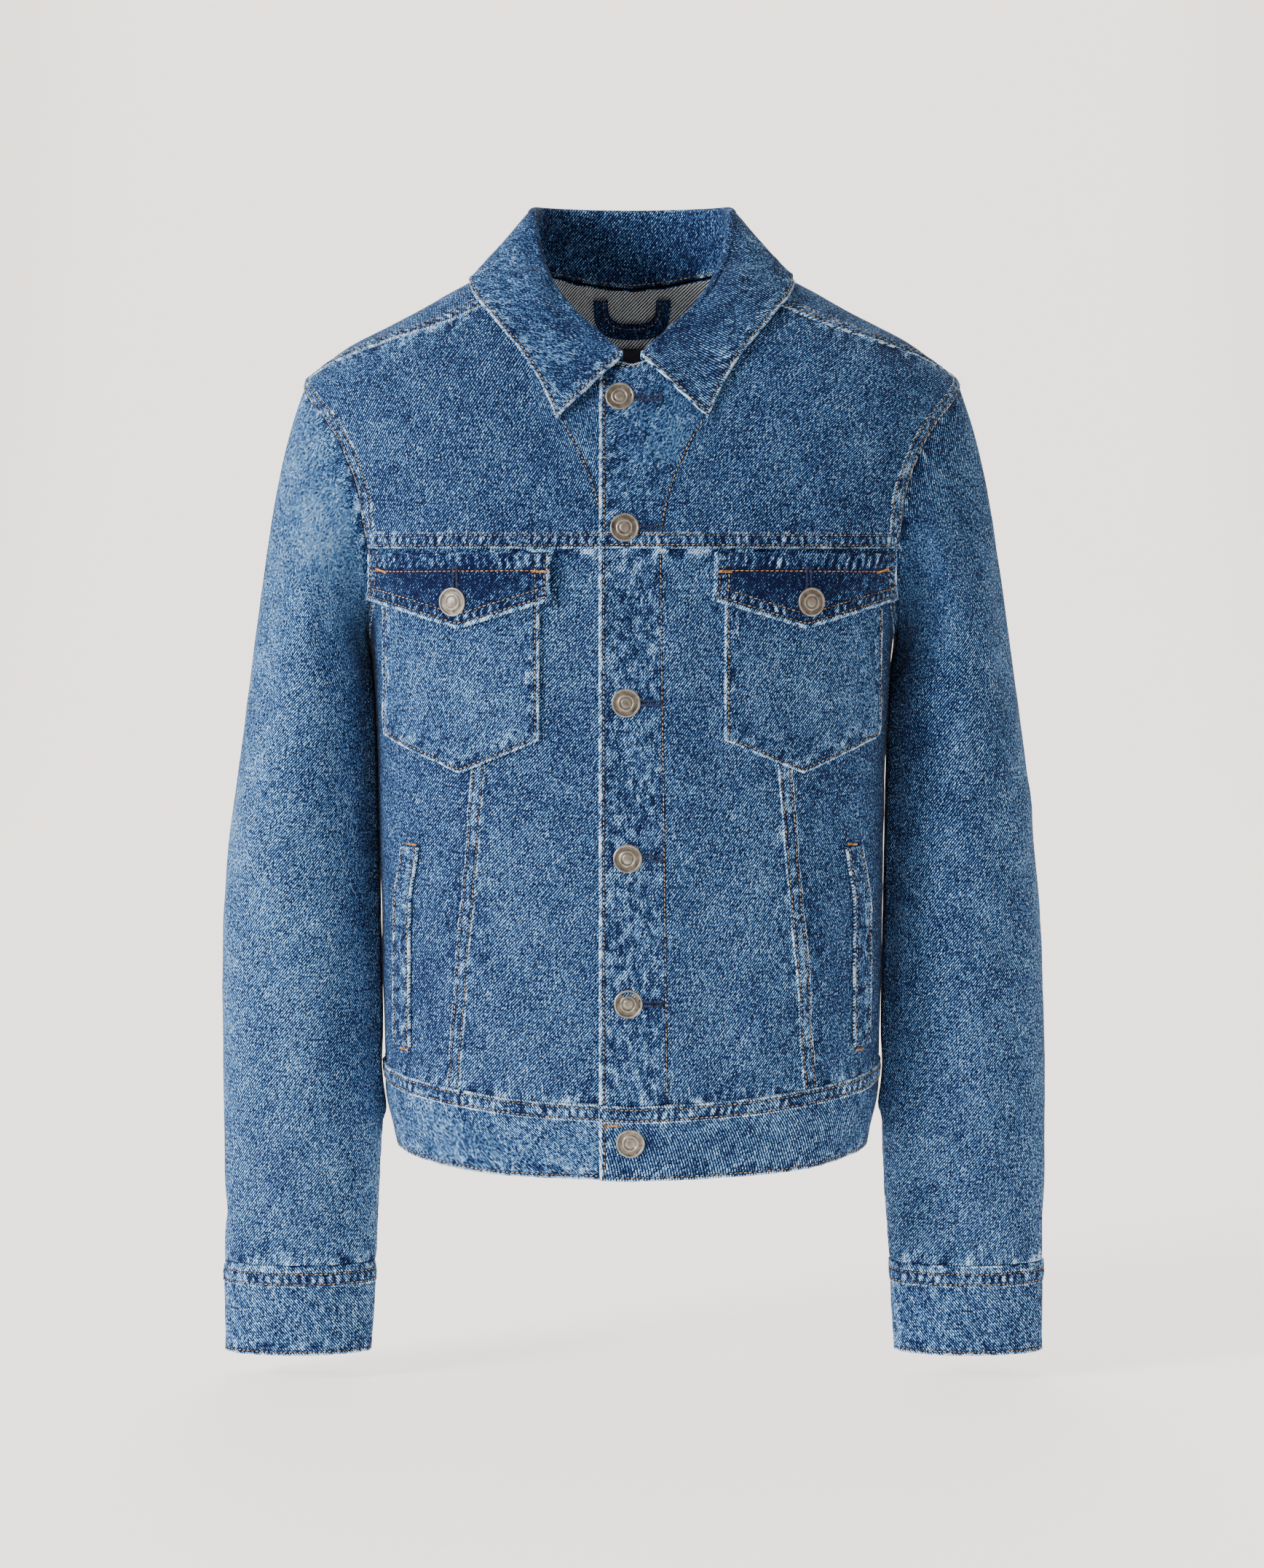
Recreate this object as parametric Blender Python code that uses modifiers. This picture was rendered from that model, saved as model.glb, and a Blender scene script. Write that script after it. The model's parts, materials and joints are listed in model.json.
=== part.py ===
"""Denim trucker jacket, standing open and hollow in its worn form.

World frame: metres, +Z up, the front faces -Y, +X is the wearer's left. The origin is the middle of the
neck, level with the back neck seam. Sizes below are millimetres, and MM turns them into metres when a mesh
is made.

Every panel is a wall round one surface: the torso, a stack of rounded rings, or a sleeve, rings from the
armhole to the cuff. A turn is an angle round the torso in degrees: 0 centre front, 90 the side, 180 centre
back. It is negative on the wearer's right. A lap is the angle round a sleeve: 0 outermost, 90 front, 180
innermost, 270 back.
"""

import math

import bpy
import numpy as np
from mathutils import Vector

MM = 0.001
OBJECT = "denim_jacket"

# ---- cloth ----
WALL = 1.5
THICK_WALL = 2.2  # collar, waistband and cuffs are sewn from two layers
GAP = 0.3  # between two pieces at a seam
YOKE_INSET = 0.32  # each side of a yoke's seam, where the two walls meet at a slight angle
LAYER = WALL + GAP + 0.25  # from the middle of a panel to the middle of a patch that lies on it
EVEN_PASSES = 40
BESIDE_EDGE = 0.5  # how far in the row beside a panel's border lies, as a share of an even step

# ---- torso rings: height, half width, depth to the front, depth to the back, squareness ----
TORSO = np.array([
    (22.0, 52.0, 36.0, 36.0, 2.3),
    (15.0, 77.0, 46.0, 48.0, 2.3),
    (4.5, 103.5, 58.0, 58.5, 2.4),
    (-20.5, 150.0, 70.0, 80.0, 2.4),
    (-41.5, 189.5, 79.0, 95.0, 2.5),
    (-58.0, 212.0, 86.0, 103.0, 2.5),
    (-66.5, 221.0, 89.0, 106.0, 2.5),
    (-78.0, 223.0, 93.5, 109.0, 2.5),
    (-92.0, 220.0, 98.5, 112.0, 2.5),
    (-108.0, 216.0, 103.5, 115.0, 2.5),
    (-131.0, 211.0, 110.0, 118.5, 2.5),
    (-150.0, 205.5, 114.5, 120.5, 2.55),
    (-172.0, 196.0, 119.5, 121.5, 2.6),
    (-210.0, 181.0, 124.0, 121.0, 2.6),
    (-238.0, 177.0, 125.5, 120.0, 2.6),
    (-286.0, 173.5, 126.0, 117.0, 2.6),
    (-394.0, 171.5, 124.0, 112.0, 2.6),
    (-500.0, 169.5, 121.5, 110.0, 2.55),
    (-545.0, 168.5, 120.5, 110.0, 2.5),
    (-572.0, 163.5, 119.0, 108.5, 2.5),
    (-600.0, 156.0, 116.5, 105.0, 2.5),
])

# ---- neck seam: turn, height ----
NECK = np.array([
    (0.0, -58.0), (16.0, -50.0), (31.0, -34.0), (48.0, -12.0), (62.0, 4.0), (75.0, 12.0),
    (90.0, 15.0), (110.0, 13.0), (135.0, 7.0), (160.0, 2.0), (180.0, 0.0),
])

# ---- shoulder seam, forward of the ridge: turn, height; it ends on the armhole ----
SHOULDER_SEAM = np.array([(54.0, -4.9), (60.5, -16.0), (66.0, -28.0), (75.0, -44.0), (82.0, -56.0)])

# ---- armhole loop: lap, degrees forward or back from the side, height ----
ARMHOLE = np.array([
    (0.0, 0.0, -66.5), (20.0, 5.5, -72.5), (41.5, 12.0, -88.0), (59.0, 16.5, -108.0), (76.0, 19.8, -131.5),
    (90.0, 21.4, -150.0), (105.0, 21.2, -173.0), (125.0, 18.0, -200.0), (145.0, 12.5, -221.0),
    (165.0, 5.5, -234.5), (180.0, 0.0, -238.0),
])
SEAM_LAP = 8.0  # where the shoulder seam meets the armhole
YOKE_LAP = 108.5  # where the chest seam meets it
BACK_LAP = -90.0  # where the back yoke's seam meets it

# ---- seams across the torso ----
YOKE_Z = -178.0
BACK_YOKE_Z = -150.0
WAIST_TOP = np.array([(0.0, -544.0), (30.0, -541.0), (60.0, -533.0), (90.0, -527.0), (180.0, -529.0)])
WAIST_BOTTOM = np.array([(0.0, -594.0), (40.0, -592.0), (90.0, -583.0), (180.0, -584.0)])
FRONT_SEAM_TOP, FRONT_SEAM_BOTTOM = 89.0, 118.5  # across from centre front, at the chest seam and the waist
BACK_SEAM_TOP, BACK_SEAM_BOTTOM = 128.0, 78.0  # across from centre back

# ---- closing at centre front ----
PLACKET_EDGE = 21.5  # each front passes the centre by this much
LIFT_END = 58.0  # the upper front is back down on the ring this far out
FRONT_LAYER = 2.2  # how far the upper front is raised over the lower one
WAIST_LAYER = 2.9

# ---- sleeves: height, outermost, innermost, half depth, middle of the depth ----
SLEEVE = {
    "R": np.array([
        (-286.0, 263.0, 177.0, 62.0, -3.0), (-340.0, 270.5, 175.8, 60.0, -4.0),
        (-394.0, 277.0, 174.8, 57.0, -5.0), (-450.0, 280.0, 173.8, 53.0, -7.0),
        (-500.0, 280.5, 173.0, 49.0, -9.0), (-560.0, 280.0, 172.4, 43.0, -11.0),
        (-610.0, 279.5, 174.5, 35.0, -13.0), (-666.0, 279.5, 177.0, 28.0, -15.0),
        (-729.0, 279.0, 181.0, 21.0, -16.0),
    ]),
    "L": np.array([
        (-286.0, 263.5, 177.0, 60.0, -3.0), (-340.0, 271.0, 175.8, 59.0, -4.0),
        (-394.0, 276.5, 174.8, 57.0, -5.0), (-450.0, 280.5, 173.8, 53.0, -7.0),
        (-500.0, 282.0, 173.0, 49.0, -9.0), (-560.0, 283.0, 172.4, 43.0, -11.0),
        (-610.0, 283.0, 174.0, 35.0, -13.0), (-666.0, 281.5, 178.0, 28.0, -15.0),
        (-729.0, 281.5, 182.0, 21.0, -16.0),
    ]),
}
CAP_END = -286.0
CUFF_TOP = -666.0
CUFF_BOTTOM = -729.0
FRONT_SLEEVE_SEAM, BACK_SLEEVE_SEAM = 178.0, 262.0
CUFF_START, CUFF_TURN = 258.0, 382.0  # the strip starts at the back and laps over itself
CUFF_RISE = 300.0, 45.0  # how far round the strip starts to rise over its own start, and over how much
CUFF_LAYER = THICK_WALL + GAP + 0.3
# ---- how a sleeve leaves the armhole: lap, outwards, downwards, reach, start inside the loop ----
# The start grows with the angle between the sleeve's wall and the panel's, which keeps their edges apart.
SLEEVE_START = np.array([
    (0.0, 0.30, 0.95, 52.0, 0.85), (45.0, 0.60, 0.80, 46.0, 0.9), (90.0, 0.85, 0.52, 40.0, 1.15),
    (112.0, 0.93, 0.35, 31.0, 1.45), (135.0, 0.98, 0.20, 22.0, 1.2), (160.0, 1.0, 0.05, 13.0, 1.05),
    (180.0, 1.0, 0.0, 9.0, 1.05),
])
CAP_ROWS = (0.0, 0.04, 0.1, 0.2, 0.34, 0.5, 0.66, 0.83, 1.0)
SLEEVE_ROWS = 10
ARM_MIDDLE = 228.0  # across to the middle of a hanging sleeve
ARM_DEGREE = 0.95  # mm round a sleeve for a degree of lap
ARRIVE_PULL = 0.36  # share of the cap's length over which it turns to hang straight down

# ---- largest folds of the body: side, first end across and up, last end across and up, width, height ----
BODY_FOLDS = (
    ("front", -150.0, -336.0, -104.0, -392.0, 14.0, -2.4),
    ("front", 152.0, -338.0, 106.0, -400.0, 14.0, -2.4),
    ("front", -128.0, -400.0, -58.0, -520.0, 15.0, 2.2),
    ("front", 132.0, -420.0, 66.0, -528.0, 16.0, 2.4),
    ("back", -140.0, -240.0, -70.0, -330.0, 16.0, -3.4),
    ("back", 140.0, -250.0, 66.0, -345.0, 16.0, -3.4),
    ("back", -110.0, -455.0, 30.0, -490.0, 15.0, 3.2),
    ("back", 96.0, -430.0, 20.0, -515.0, 14.0, 2.6),
)
# ---- largest folds of a sleeve: first end lap and height, last end lap and height, width in mm, height ----
SLEEVE_FOLDS = (
    (38.0, -150.0, 62.0, -330.0, 12.0, -2.6),
    (20.0, -330.0, 70.0, -400.0, 13.0, 2.4),
    (110.0, -410.0, 48.0, -470.0, 11.0, -2.8),
    (-70.0, -370.0, 10.0, -425.0, 12.0, -3.0),
    (-95.0, -430.0, -25.0, -480.0, 12.0, 3.0),
    (70.0, -560.0, 120.0, -640.0, 11.0, 2.2),
    (-60.0, -610.0, 30.0, -640.0, 11.0, -2.2),
)

# ---- collar: turn of the neck seam; roll across, forward, up; turn and height of the leaf's edge ----
COLLAR = np.array([
    (5.0, 7.0, -89.5, -49.5, 26.8, -93.0),
    (16.0, 22.0, -80.0, -35.0, 31.5, -77.0),
    (31.0, 40.0, -67.0, -18.5, 38.5, -58.0),
    (48.0, 55.0, -50.0, 2.0, 49.0, -37.0),
    (62.0, 62.5, -34.0, 21.0, 62.0, -16.0),
    (75.0, 66.5, -17.0, 42.0, 76.0, -0.5),
    (90.0, 67.5, 0.0, 51.0, 92.0, 6.5),
    (110.0, 65.0, 22.0, 54.0, 112.0, 1.0),
    (135.0, 49.0, 43.0, 54.5, 138.0, -9.0),
    (160.0, 22.0, 55.0, 54.5, 161.0, -16.0),
    (180.0, 0.0, 57.5, 54.5, 180.0, -18.0),
])
ROLL_RADIUS = 2.8
LEAF_CLEAR = 3.2  # from the middle of the yoke to the middle of the leaf at its edge
STAND_RISE = 1.9  # the stand starts this far beyond the neck seam
COLLAR_WALL = 1.8
LEAF_BULGE = 4.0, 2.0  # off the shoulders, and outwards
LEAF_STEPS = (0.2, 0.42, 0.7, 1.0)
CLEAR_FROM = 0.25  # share of the way down the leaf from which it is LEAF_CLEAR off the yoke

# ---- chest pocket and flap, on the front ring: across from centre, height ----
FLAP_TOP_Z = YOKE_Z - 2.6
FLAP = {"outer": 172.0, "inner": 53.5, "side": 31.0, "point": 49.5}
POCKET = {"outer": 164.0, "inner": 60.5, "top": -190.0, "side": -302.5, "point": -325.0}
WELT = np.array([(140.5, -376.0), (146.5, -418.0), (147.0, -511.0)])  # inner edge, top to bottom
WELT_WIDTH = 11.5

# ---- neck label and hanger loop, inside the back yoke ----
LABEL_HALF, LABEL_TOP, LABEL_BOTTOM = 31.0, -38.0, -82.0
LABEL_WALL = 0.8
LABEL_DEPTH = WALL / 2 + GAP + 1.0  # from the middle of the back yoke in to the middle of the label
LOOP_HALF, LOOP_TOP, LOOP_LOW, LOOP_WIDTH = 27.0, -5.0, -31.0, 10.0
LOOP_WALL = 1.4
LOOP_DEPTH = WALL / 2 + GAP + 1.4
LOOP_SQUARE = 0.62  # under 1 squares the bottom of the U

# ---- buttons ----
BUTTON_HEIGHTS = (-79.0, -164.5, -278.0, -380.0, -476.0, -568.5)
BUTTON_SHIFTS = (-8.0, -4.8, -3.8, -2.8, -2.4, -1.0)  # across from the centre
BUTTON = ((0.0, 0.0), (7.0, 0.0), (7.2, 1.0), (9.5, 1.5), (9.6, 2.6), (8.7, 3.3), (7.2, 2.7), (0.0, 2.9))
BUTTON_STEPS = 12
CUFF_BUTTON_LAP = 249.0
FLAP_BUTTON = 3.0, 32.0  # outwards from the flap's middle, and down from its top
CUFF_BUTTON_OUT = 1.5 * THICK_WALL + 2 * GAP + 0.4  # on both layers of the lapped cuff

MATERIALS = {
    "denim": ((0.09, 0.17, 0.32, 1.0), 0.9, 0.0),
    "denim_dark": ((0.045, 0.085, 0.19, 1.0), 0.9, 0.0),
    "denim_light": ((0.15, 0.26, 0.44, 1.0), 0.9, 0.0),
    "label_cloth": ((0.01, 0.013, 0.03, 1.0), 0.85, 0.0),
    "pewter": ((0.32, 0.28, 0.25, 1.0), 0.42, 1.0),
}


def smooth(at, table, column):
    """The table's column as a smooth curve of its first column. It never overshoots a row."""
    rows = table[np.argsort(table[:, 0])]
    xs, ys = rows[:, 0], rows[:, column]
    steps = np.diff(xs)
    rises = np.diff(ys) / steps
    slopes = np.zeros(len(xs))
    slopes[0], slopes[-1] = rises[0], rises[-1]
    before, after = rises[:-1], rises[1:]
    same = before * after > 0
    total = np.where(same, before + after, 1.0)
    slopes[1:-1] = np.where(same, 2.0 * before * after / total, 0.0)
    at = np.clip(at, xs[0], xs[-1])
    i = np.clip(np.searchsorted(xs, at) - 1, 0, len(steps) - 1)
    t = (at - xs[i]) / steps[i]
    start = (1 + 2 * t) * (1 - t) ** 2 * ys[i] + t * (1 - t) ** 2 * steps[i] * slopes[i]
    end = t**2 * (3 - 2 * t) * ys[i + 1] + t**2 * (t - 1) * steps[i] * slopes[i + 1]
    return start + end


def eased(t):
    """0 to 1 with a soft start and end."""
    t = np.clip(t, 0.0, 1.0)
    return t * t * (3 - 2 * t)


def unit(vectors):
    return vectors / np.linalg.norm(vectors, axis=-1, keepdims=True)


def points(x, y, z):
    return np.stack(np.broadcast_arrays(x, y, z), axis=-1).astype(float)


# ---- the torso surface ----


def ring(z):
    return [smooth(z, TORSO, column) for column in (1, 2, 3, 4)]


def torso_level(p):
    """Under 1 inside the torso, 1 on it and over 1 outside."""
    width, front, back, power = ring(p[..., 2])
    depth = np.where(p[..., 1] < 0, front, back)
    return (np.abs(p[..., 0]) / width) ** power + (np.abs(p[..., 1]) / depth) ** power


def torso_point(turn, z):
    turn, z = np.broadcast_arrays(np.radians(turn), np.asarray(z, float))
    width, front, back, power = ring(z)
    depth = np.where(np.cos(turn) > 0, front, back)
    reach = (np.abs(np.sin(turn)) / width) ** power + (np.abs(np.cos(turn)) / depth) ** power
    reach = reach ** (-1 / power)
    return points(reach * np.sin(turn), -reach * np.cos(turn), z)


def face_point(x, z, side="front"):
    """The torso's point in front of or behind a place given across and up."""
    x, z = np.broadcast_arrays(np.asarray(x, float), np.asarray(z, float))
    width, front, back, power = ring(z)
    rest = np.clip(1 - (np.abs(x) / width) ** power, 0, 1) ** (1 / power)
    return points(x, -front * rest if side == "front" else back * rest, z)


def torso_slope(p):
    """How fast the level rises along X, Y and Z, for each millimetre."""
    step = 0.05
    slopes = []
    for axis in range(3):
        move = np.zeros(3)
        move[axis] = step
        slopes.append((torso_level(p + move) - torso_level(p - move)) / (2 * step))
    return np.stack(slopes, axis=-1)


def torso_normal(p):
    return unit(torso_slope(p))


def torso_distance(p):
    """Millimetres outside the torso, near enough for points close to it."""
    return (torso_level(p) - 1) / np.linalg.norm(torso_slope(p), axis=-1)


def pushed_out(p):
    """Points moved away from a line inside the shoulders until they lie on the torso."""
    inside = points(0.6 * p[..., 0], 0.0, np.minimum(p[..., 2], BACK_YOKE_Z))
    low, high = np.zeros(p.shape[:-1]), np.full(p.shape[:-1], 6.0)
    for _ in range(40):
        middle = (low + high) / 2
        out = torso_level(inside + (p - inside) * middle[..., None]) > 1
        high = np.where(out, middle, high)
        low = np.where(out, low, middle)
    return inside + (p - inside) * high[..., None]


def fold_height(across, up, fold):
    """A soft ridge or trough along a straight line that fades at both ends."""
    x0, z0, x1, z1, width, height = fold
    run = np.array([x1 - x0, z1 - z0])
    length = np.hypot(*run)
    along = ((across - x0) * run[0] + (up - z0) * run[1]) / length
    off = ((across - x0) * run[1] - (up - z0) * run[0]) / length
    ends = eased(along / (0.35 * length)) * eased((length - along) / (0.35 * length))
    return height * ends * np.exp(-((off / width) ** 2))


def body_relief(p):
    total = np.zeros(p.shape[:-1])
    for side, *fold in BODY_FOLDS:
        here = p[..., 1] < 0 if side == "front" else p[..., 1] > 0
        total += np.where(here, fold_height(p[..., 0], p[..., 2], fold), 0.0)
    return total


def front_lift(p, layer):
    """How far a piece of the upper front is raised over the lower front."""
    inside = 1 - eased((p[..., 0] - PLACKET_EDGE - 3.0) / (LIFT_END - PLACKET_EDGE))
    return np.where(p[..., 1] < 0, layer * inside, 0.0)


def on_body(p, out=0.0, lift=0.0):
    """The cloth's own points for points of the torso, moved out by a distance."""
    return p + torso_normal(p) * np.asarray(body_relief(p) + out + lift)[..., None]


# ---- curves and patches ----


def spread(dense, count):
    """count + 1 points at equal distances along a finely sampled line."""
    lengths = np.concatenate([[0.0], np.cumsum(np.linalg.norm(np.diff(dense, axis=0), axis=1))])
    at = np.linspace(0, lengths[-1], count + 1)
    return np.stack([np.interp(at, lengths, dense[:, i]) for i in range(3)], axis=1)


def surface_line(turns, heights, count):
    """A line on the torso between equal steps of turn and height."""
    return spread(torso_point(turns, heights), count)


def armhole_point(side, lap):
    """A point of the armhole loop; negative laps run over the back."""
    size = np.abs(lap)
    forward = np.sign(lap) * smooth(size, ARMHOLE, 1)
    p = torso_point(90.0 - forward, smooth(size, ARMHOLE, 2))
    return p * np.array([1 if side == "L" else -1, 1, 1])


def armhole_line(side, start, end, count):
    return spread(armhole_point(side, np.linspace(start, end, 160)), count)


def folded_turn(turn):
    """Any turn as 0 to 180 degrees from centre front."""
    return np.abs((turn + 180.0) % 360.0 - 180.0)


def shoulder_line(side, count):
    """From the neck to the armhole."""
    turns = np.linspace(SHOULDER_SEAM[0, 0], SHOULDER_SEAM[-1, 0], 100)
    line = torso_point(turns, smooth(turns, SHOULDER_SEAM, 1))
    tip = armhole_point("L", SEAM_LAP)
    last = pushed_out(line[-1] + (tip - line[-1]) * np.linspace(0, 1, 20)[:, None])
    line = np.concatenate([line, last[1:]])
    return spread(line * np.array([1 if side == "L" else -1, 1, 1]), count)


def coons(bottom, top, left, right):
    """A sheet of points between four lines that share their corners."""
    u = np.linspace(0, 1, len(bottom))[None, :, None]
    v = np.linspace(0, 1, len(left))[:, None, None]
    across = (1 - v) * bottom[None] + v * top[None]
    along = (1 - u) * left[:, None] + u * right[:, None]
    low = (1 - u) * bottom[0] + u * bottom[-1]
    high = (1 - u) * top[0] + u * top[-1]
    return across + along - (1 - v) * low - v * high


def evened(grid):
    """The grid with its inner points drawn level between their neighbours, still on the torso.

    The rows beside the border are then drawn near it, so that the wall's edge stands square to the surface.
    """
    grid = grid.copy()
    for _ in range(EVEN_PASSES):
        inner = (grid[:-2, 1:-1] + grid[2:, 1:-1] + grid[1:-1, :-2] + grid[1:-1, 2:]) / 4
        grid[1:-1, 1:-1] = pushed_out(inner)
    for near, far in ((0, 1), (-1, -2)):
        grid[far, 1:-1] = pushed_out(grid[near, 1:-1] + (grid[far, 1:-1] - grid[near, 1:-1]) * BESIDE_EDGE)
    for near, far in ((0, 1), (-1, -2)):
        grid[1:-1, far] = pushed_out(grid[1:-1, near] + (grid[1:-1, far] - grid[1:-1, near]) * BESIDE_EDGE)
    return grid


def inset(grid, by=GAP / 2):
    """The grid with its border drawn in, so that neighbours that share a line stay apart."""
    out = grid.copy()
    for near, far in ((0, 1), (-1, -2)):
        out[near] += unit(grid[far] - grid[near]) * by
    drawn = out.copy()
    for near, far in ((0, 1), (-1, -2)):
        drawn[:, near] += unit(out[:, far] - out[:, near]) * by
    return drawn


# ---- sleeves ----


def sleeve_ring(side, lap, z):
    """A point of the sleeve below its cap."""
    table = SLEEVE[side]
    outer, inner, depth, middle = [smooth(z, table, column) for column in (1, 2, 3, 4)]
    lap = np.radians(lap)
    x = (outer + inner) / 2 + (outer - inner) / 2 * np.cos(lap)
    y = middle - depth * np.sin(lap)
    return points(x * (1 if side == "L" else -1), y, z)


def sleeve_cap(side, lap, t):
    """A point between the armhole, t 0, and the first full ring, t 1."""
    sign = 1 if side == "L" else -1
    wrapped = (lap + 180.0) % 360.0 - 180.0
    start = armhole_point(side, wrapped)
    size = np.abs(wrapped)
    out, down, reach, gap = [smooth(size, SLEEVE_START, column) for column in (1, 2, 3, 4)]
    leave = unit(points(sign * out, 0.0, -down))
    under = eased((size - 120.0) / 60.0)
    inward = points(start[..., 0], 0.0, -152.0) - start
    facing = torso_normal(start)
    inward = unit(inward - facing * np.sum(inward * facing, axis=-1, keepdims=True))
    start = start + inward * gap[..., None] + points(sign * 0.6 * under, 0.0, 0.5 * under)
    end = sleeve_ring(side, lap, CAP_END)
    below = sleeve_ring(side, lap, CAP_END - 10.0)
    arrive = unit(end - below)
    pull = np.linalg.norm(end - start, axis=-1) * ARRIVE_PULL
    first = start + leave * reach[..., None]
    last = end + arrive * pull[..., None]
    t = np.asarray(t, float)[..., None]
    return (1 - t) ** 3 * start + 3 * (1 - t) ** 2 * t * first + 3 * (1 - t) * t**2 * last + t**3 * end


def sleeve_relief(side, lap, z):
    wrapped = (lap + 180.0) % 360.0 - 180.0
    total = np.zeros(np.broadcast(lap, z).shape)
    for fold in SLEEVE_FOLDS:
        lap0, z0, lap1, z1, width, height = fold
        turned = 12.0 if side == "L" else 0.0
        line = (lap0 * ARM_DEGREE, z0, lap1 * ARM_DEGREE, z1, width, height)
        total += fold_height((wrapped + turned) * ARM_DEGREE, z, line)
    return total * eased((165.0 - np.abs(wrapped)) / 40.0)


def sleeve_grid(side, start, end, columns):
    """Rows from the armhole to the cuff seam, columns round the sleeve."""
    lap = np.linspace(start, end, columns + 1)[None, :]
    t = np.array(CAP_ROWS)[:, None]
    cap = sleeve_cap(side, lap + 0 * t, t + 0 * lap)
    z = np.linspace(CAP_END, CUFF_TOP, SLEEVE_ROWS + 1)[1:, None]
    tube = sleeve_ring(side, lap + 0 * z, z + 0 * lap)
    grid = np.concatenate([cap, tube])
    middle = np.array([1 if side == "L" else -1, 0, 0]) * ARM_MIDDLE
    outward = unit((grid - middle) * np.array([1, 1, 0]))
    relief = sleeve_relief(side, lap + 0 * grid[..., 2], grid[..., 2])
    return grid + outward * relief[..., None]


def cuff_grid(side):
    """A strip round the wrist whose end laps over its start at the back."""
    lap = np.linspace(CUFF_START, CUFF_START - CUFF_TURN, 28)[None, :]
    z = np.linspace(CUFF_TOP - GAP, CUFF_BOTTOM, 4)[:, None]
    grid = sleeve_ring(side, lap + 0 * z, z + 0 * lap)
    middle = grid[:, :-1].mean(axis=1, keepdims=True)
    over = eased((CUFF_START - lap - CUFF_RISE[0]) / CUFF_RISE[1])
    outward = unit((grid - middle) * np.array([1.0, 2.0, 0.0]))
    return grid + outward * (over * CUFF_LAYER)[..., None]


# ---- meshes ----


def material(name):
    colour, roughness, metallic = MATERIALS[name]
    made = bpy.data.materials.get(name) or bpy.data.materials.new(name)
    made.use_nodes = True
    made.diffuse_color = colour
    shader = made.node_tree.nodes["Principled BSDF"]
    shader.inputs["Base Color"].default_value = colour
    shader.inputs["Roughness"].default_value = roughness
    shader.inputs["Metallic"].default_value = metallic
    return made


def add_object(name, mesh, slot):
    obj = bpy.data.objects.new(name, mesh)
    mesh.materials.append(material(slot))
    bpy.data.collections[OBJECT].objects.link(obj)
    return obj


def wall(name, grid, slot, thickness=WALL):
    """A wall of cloth with the grid as its middle. Its faces look away from the body."""
    rows, columns = grid.shape[:2]
    index = np.arange(rows * columns).reshape(rows, columns)
    faces = np.stack([index[:-1, :-1], index[:-1, 1:], index[1:, 1:], index[1:, :-1]], axis=-1).reshape(-1, 4)
    mesh = bpy.data.meshes.new(name)
    mesh.from_pydata((grid.reshape(-1, 3) * MM).tolist(), [], faces.tolist())
    mesh.shade_smooth()
    obj = add_object(name, mesh, slot)
    solid = obj.modifiers.new("thickness", "SOLIDIFY")
    solid.thickness = thickness * MM
    solid.offset = 0.0
    solid.use_rim = True
    obj.modifiers.new("triangles", "TRIANGULATE").quad_method = "SHORTEST_DIAGONAL"
    return obj


# ---- the pieces ----


def waist_z(turn):
    return smooth(np.abs(turn), WAIST_TOP, 1)


def front_seam_x(z):
    """Across from centre front to the slanted seam between the front panels."""
    t = (z - YOKE_Z) / (waist_z(45.0) - YOKE_Z)
    return FRONT_SEAM_TOP + (FRONT_SEAM_BOTTOM - FRONT_SEAM_TOP) * t


def back_seam_x(z):
    t = (z - BACK_YOKE_Z) / (waist_z(150.0) - BACK_YOKE_Z)
    return BACK_SEAM_TOP + (BACK_SEAM_BOTTOM - BACK_SEAM_TOP) * t


def line_to_waist(x_of_z, top, face, count):
    """A line down a panel to the waist seam, given across as a function of height."""
    z = np.linspace(top, -560.0, 300)
    line = face_point(x_of_z(z), z, face)
    turn = np.degrees(np.arctan2(np.abs(line[:, 0]), -line[:, 1]))
    keep = z >= waist_z(turn)
    return spread(line[keep], count)


def waist_line(start, end, count):
    turns = np.linspace(start, end, 200)
    return surface_line(turns, waist_z(turns), count)


def turn_of(p):
    return math.degrees(math.atan2(abs(p[0]), -p[1]))


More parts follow.
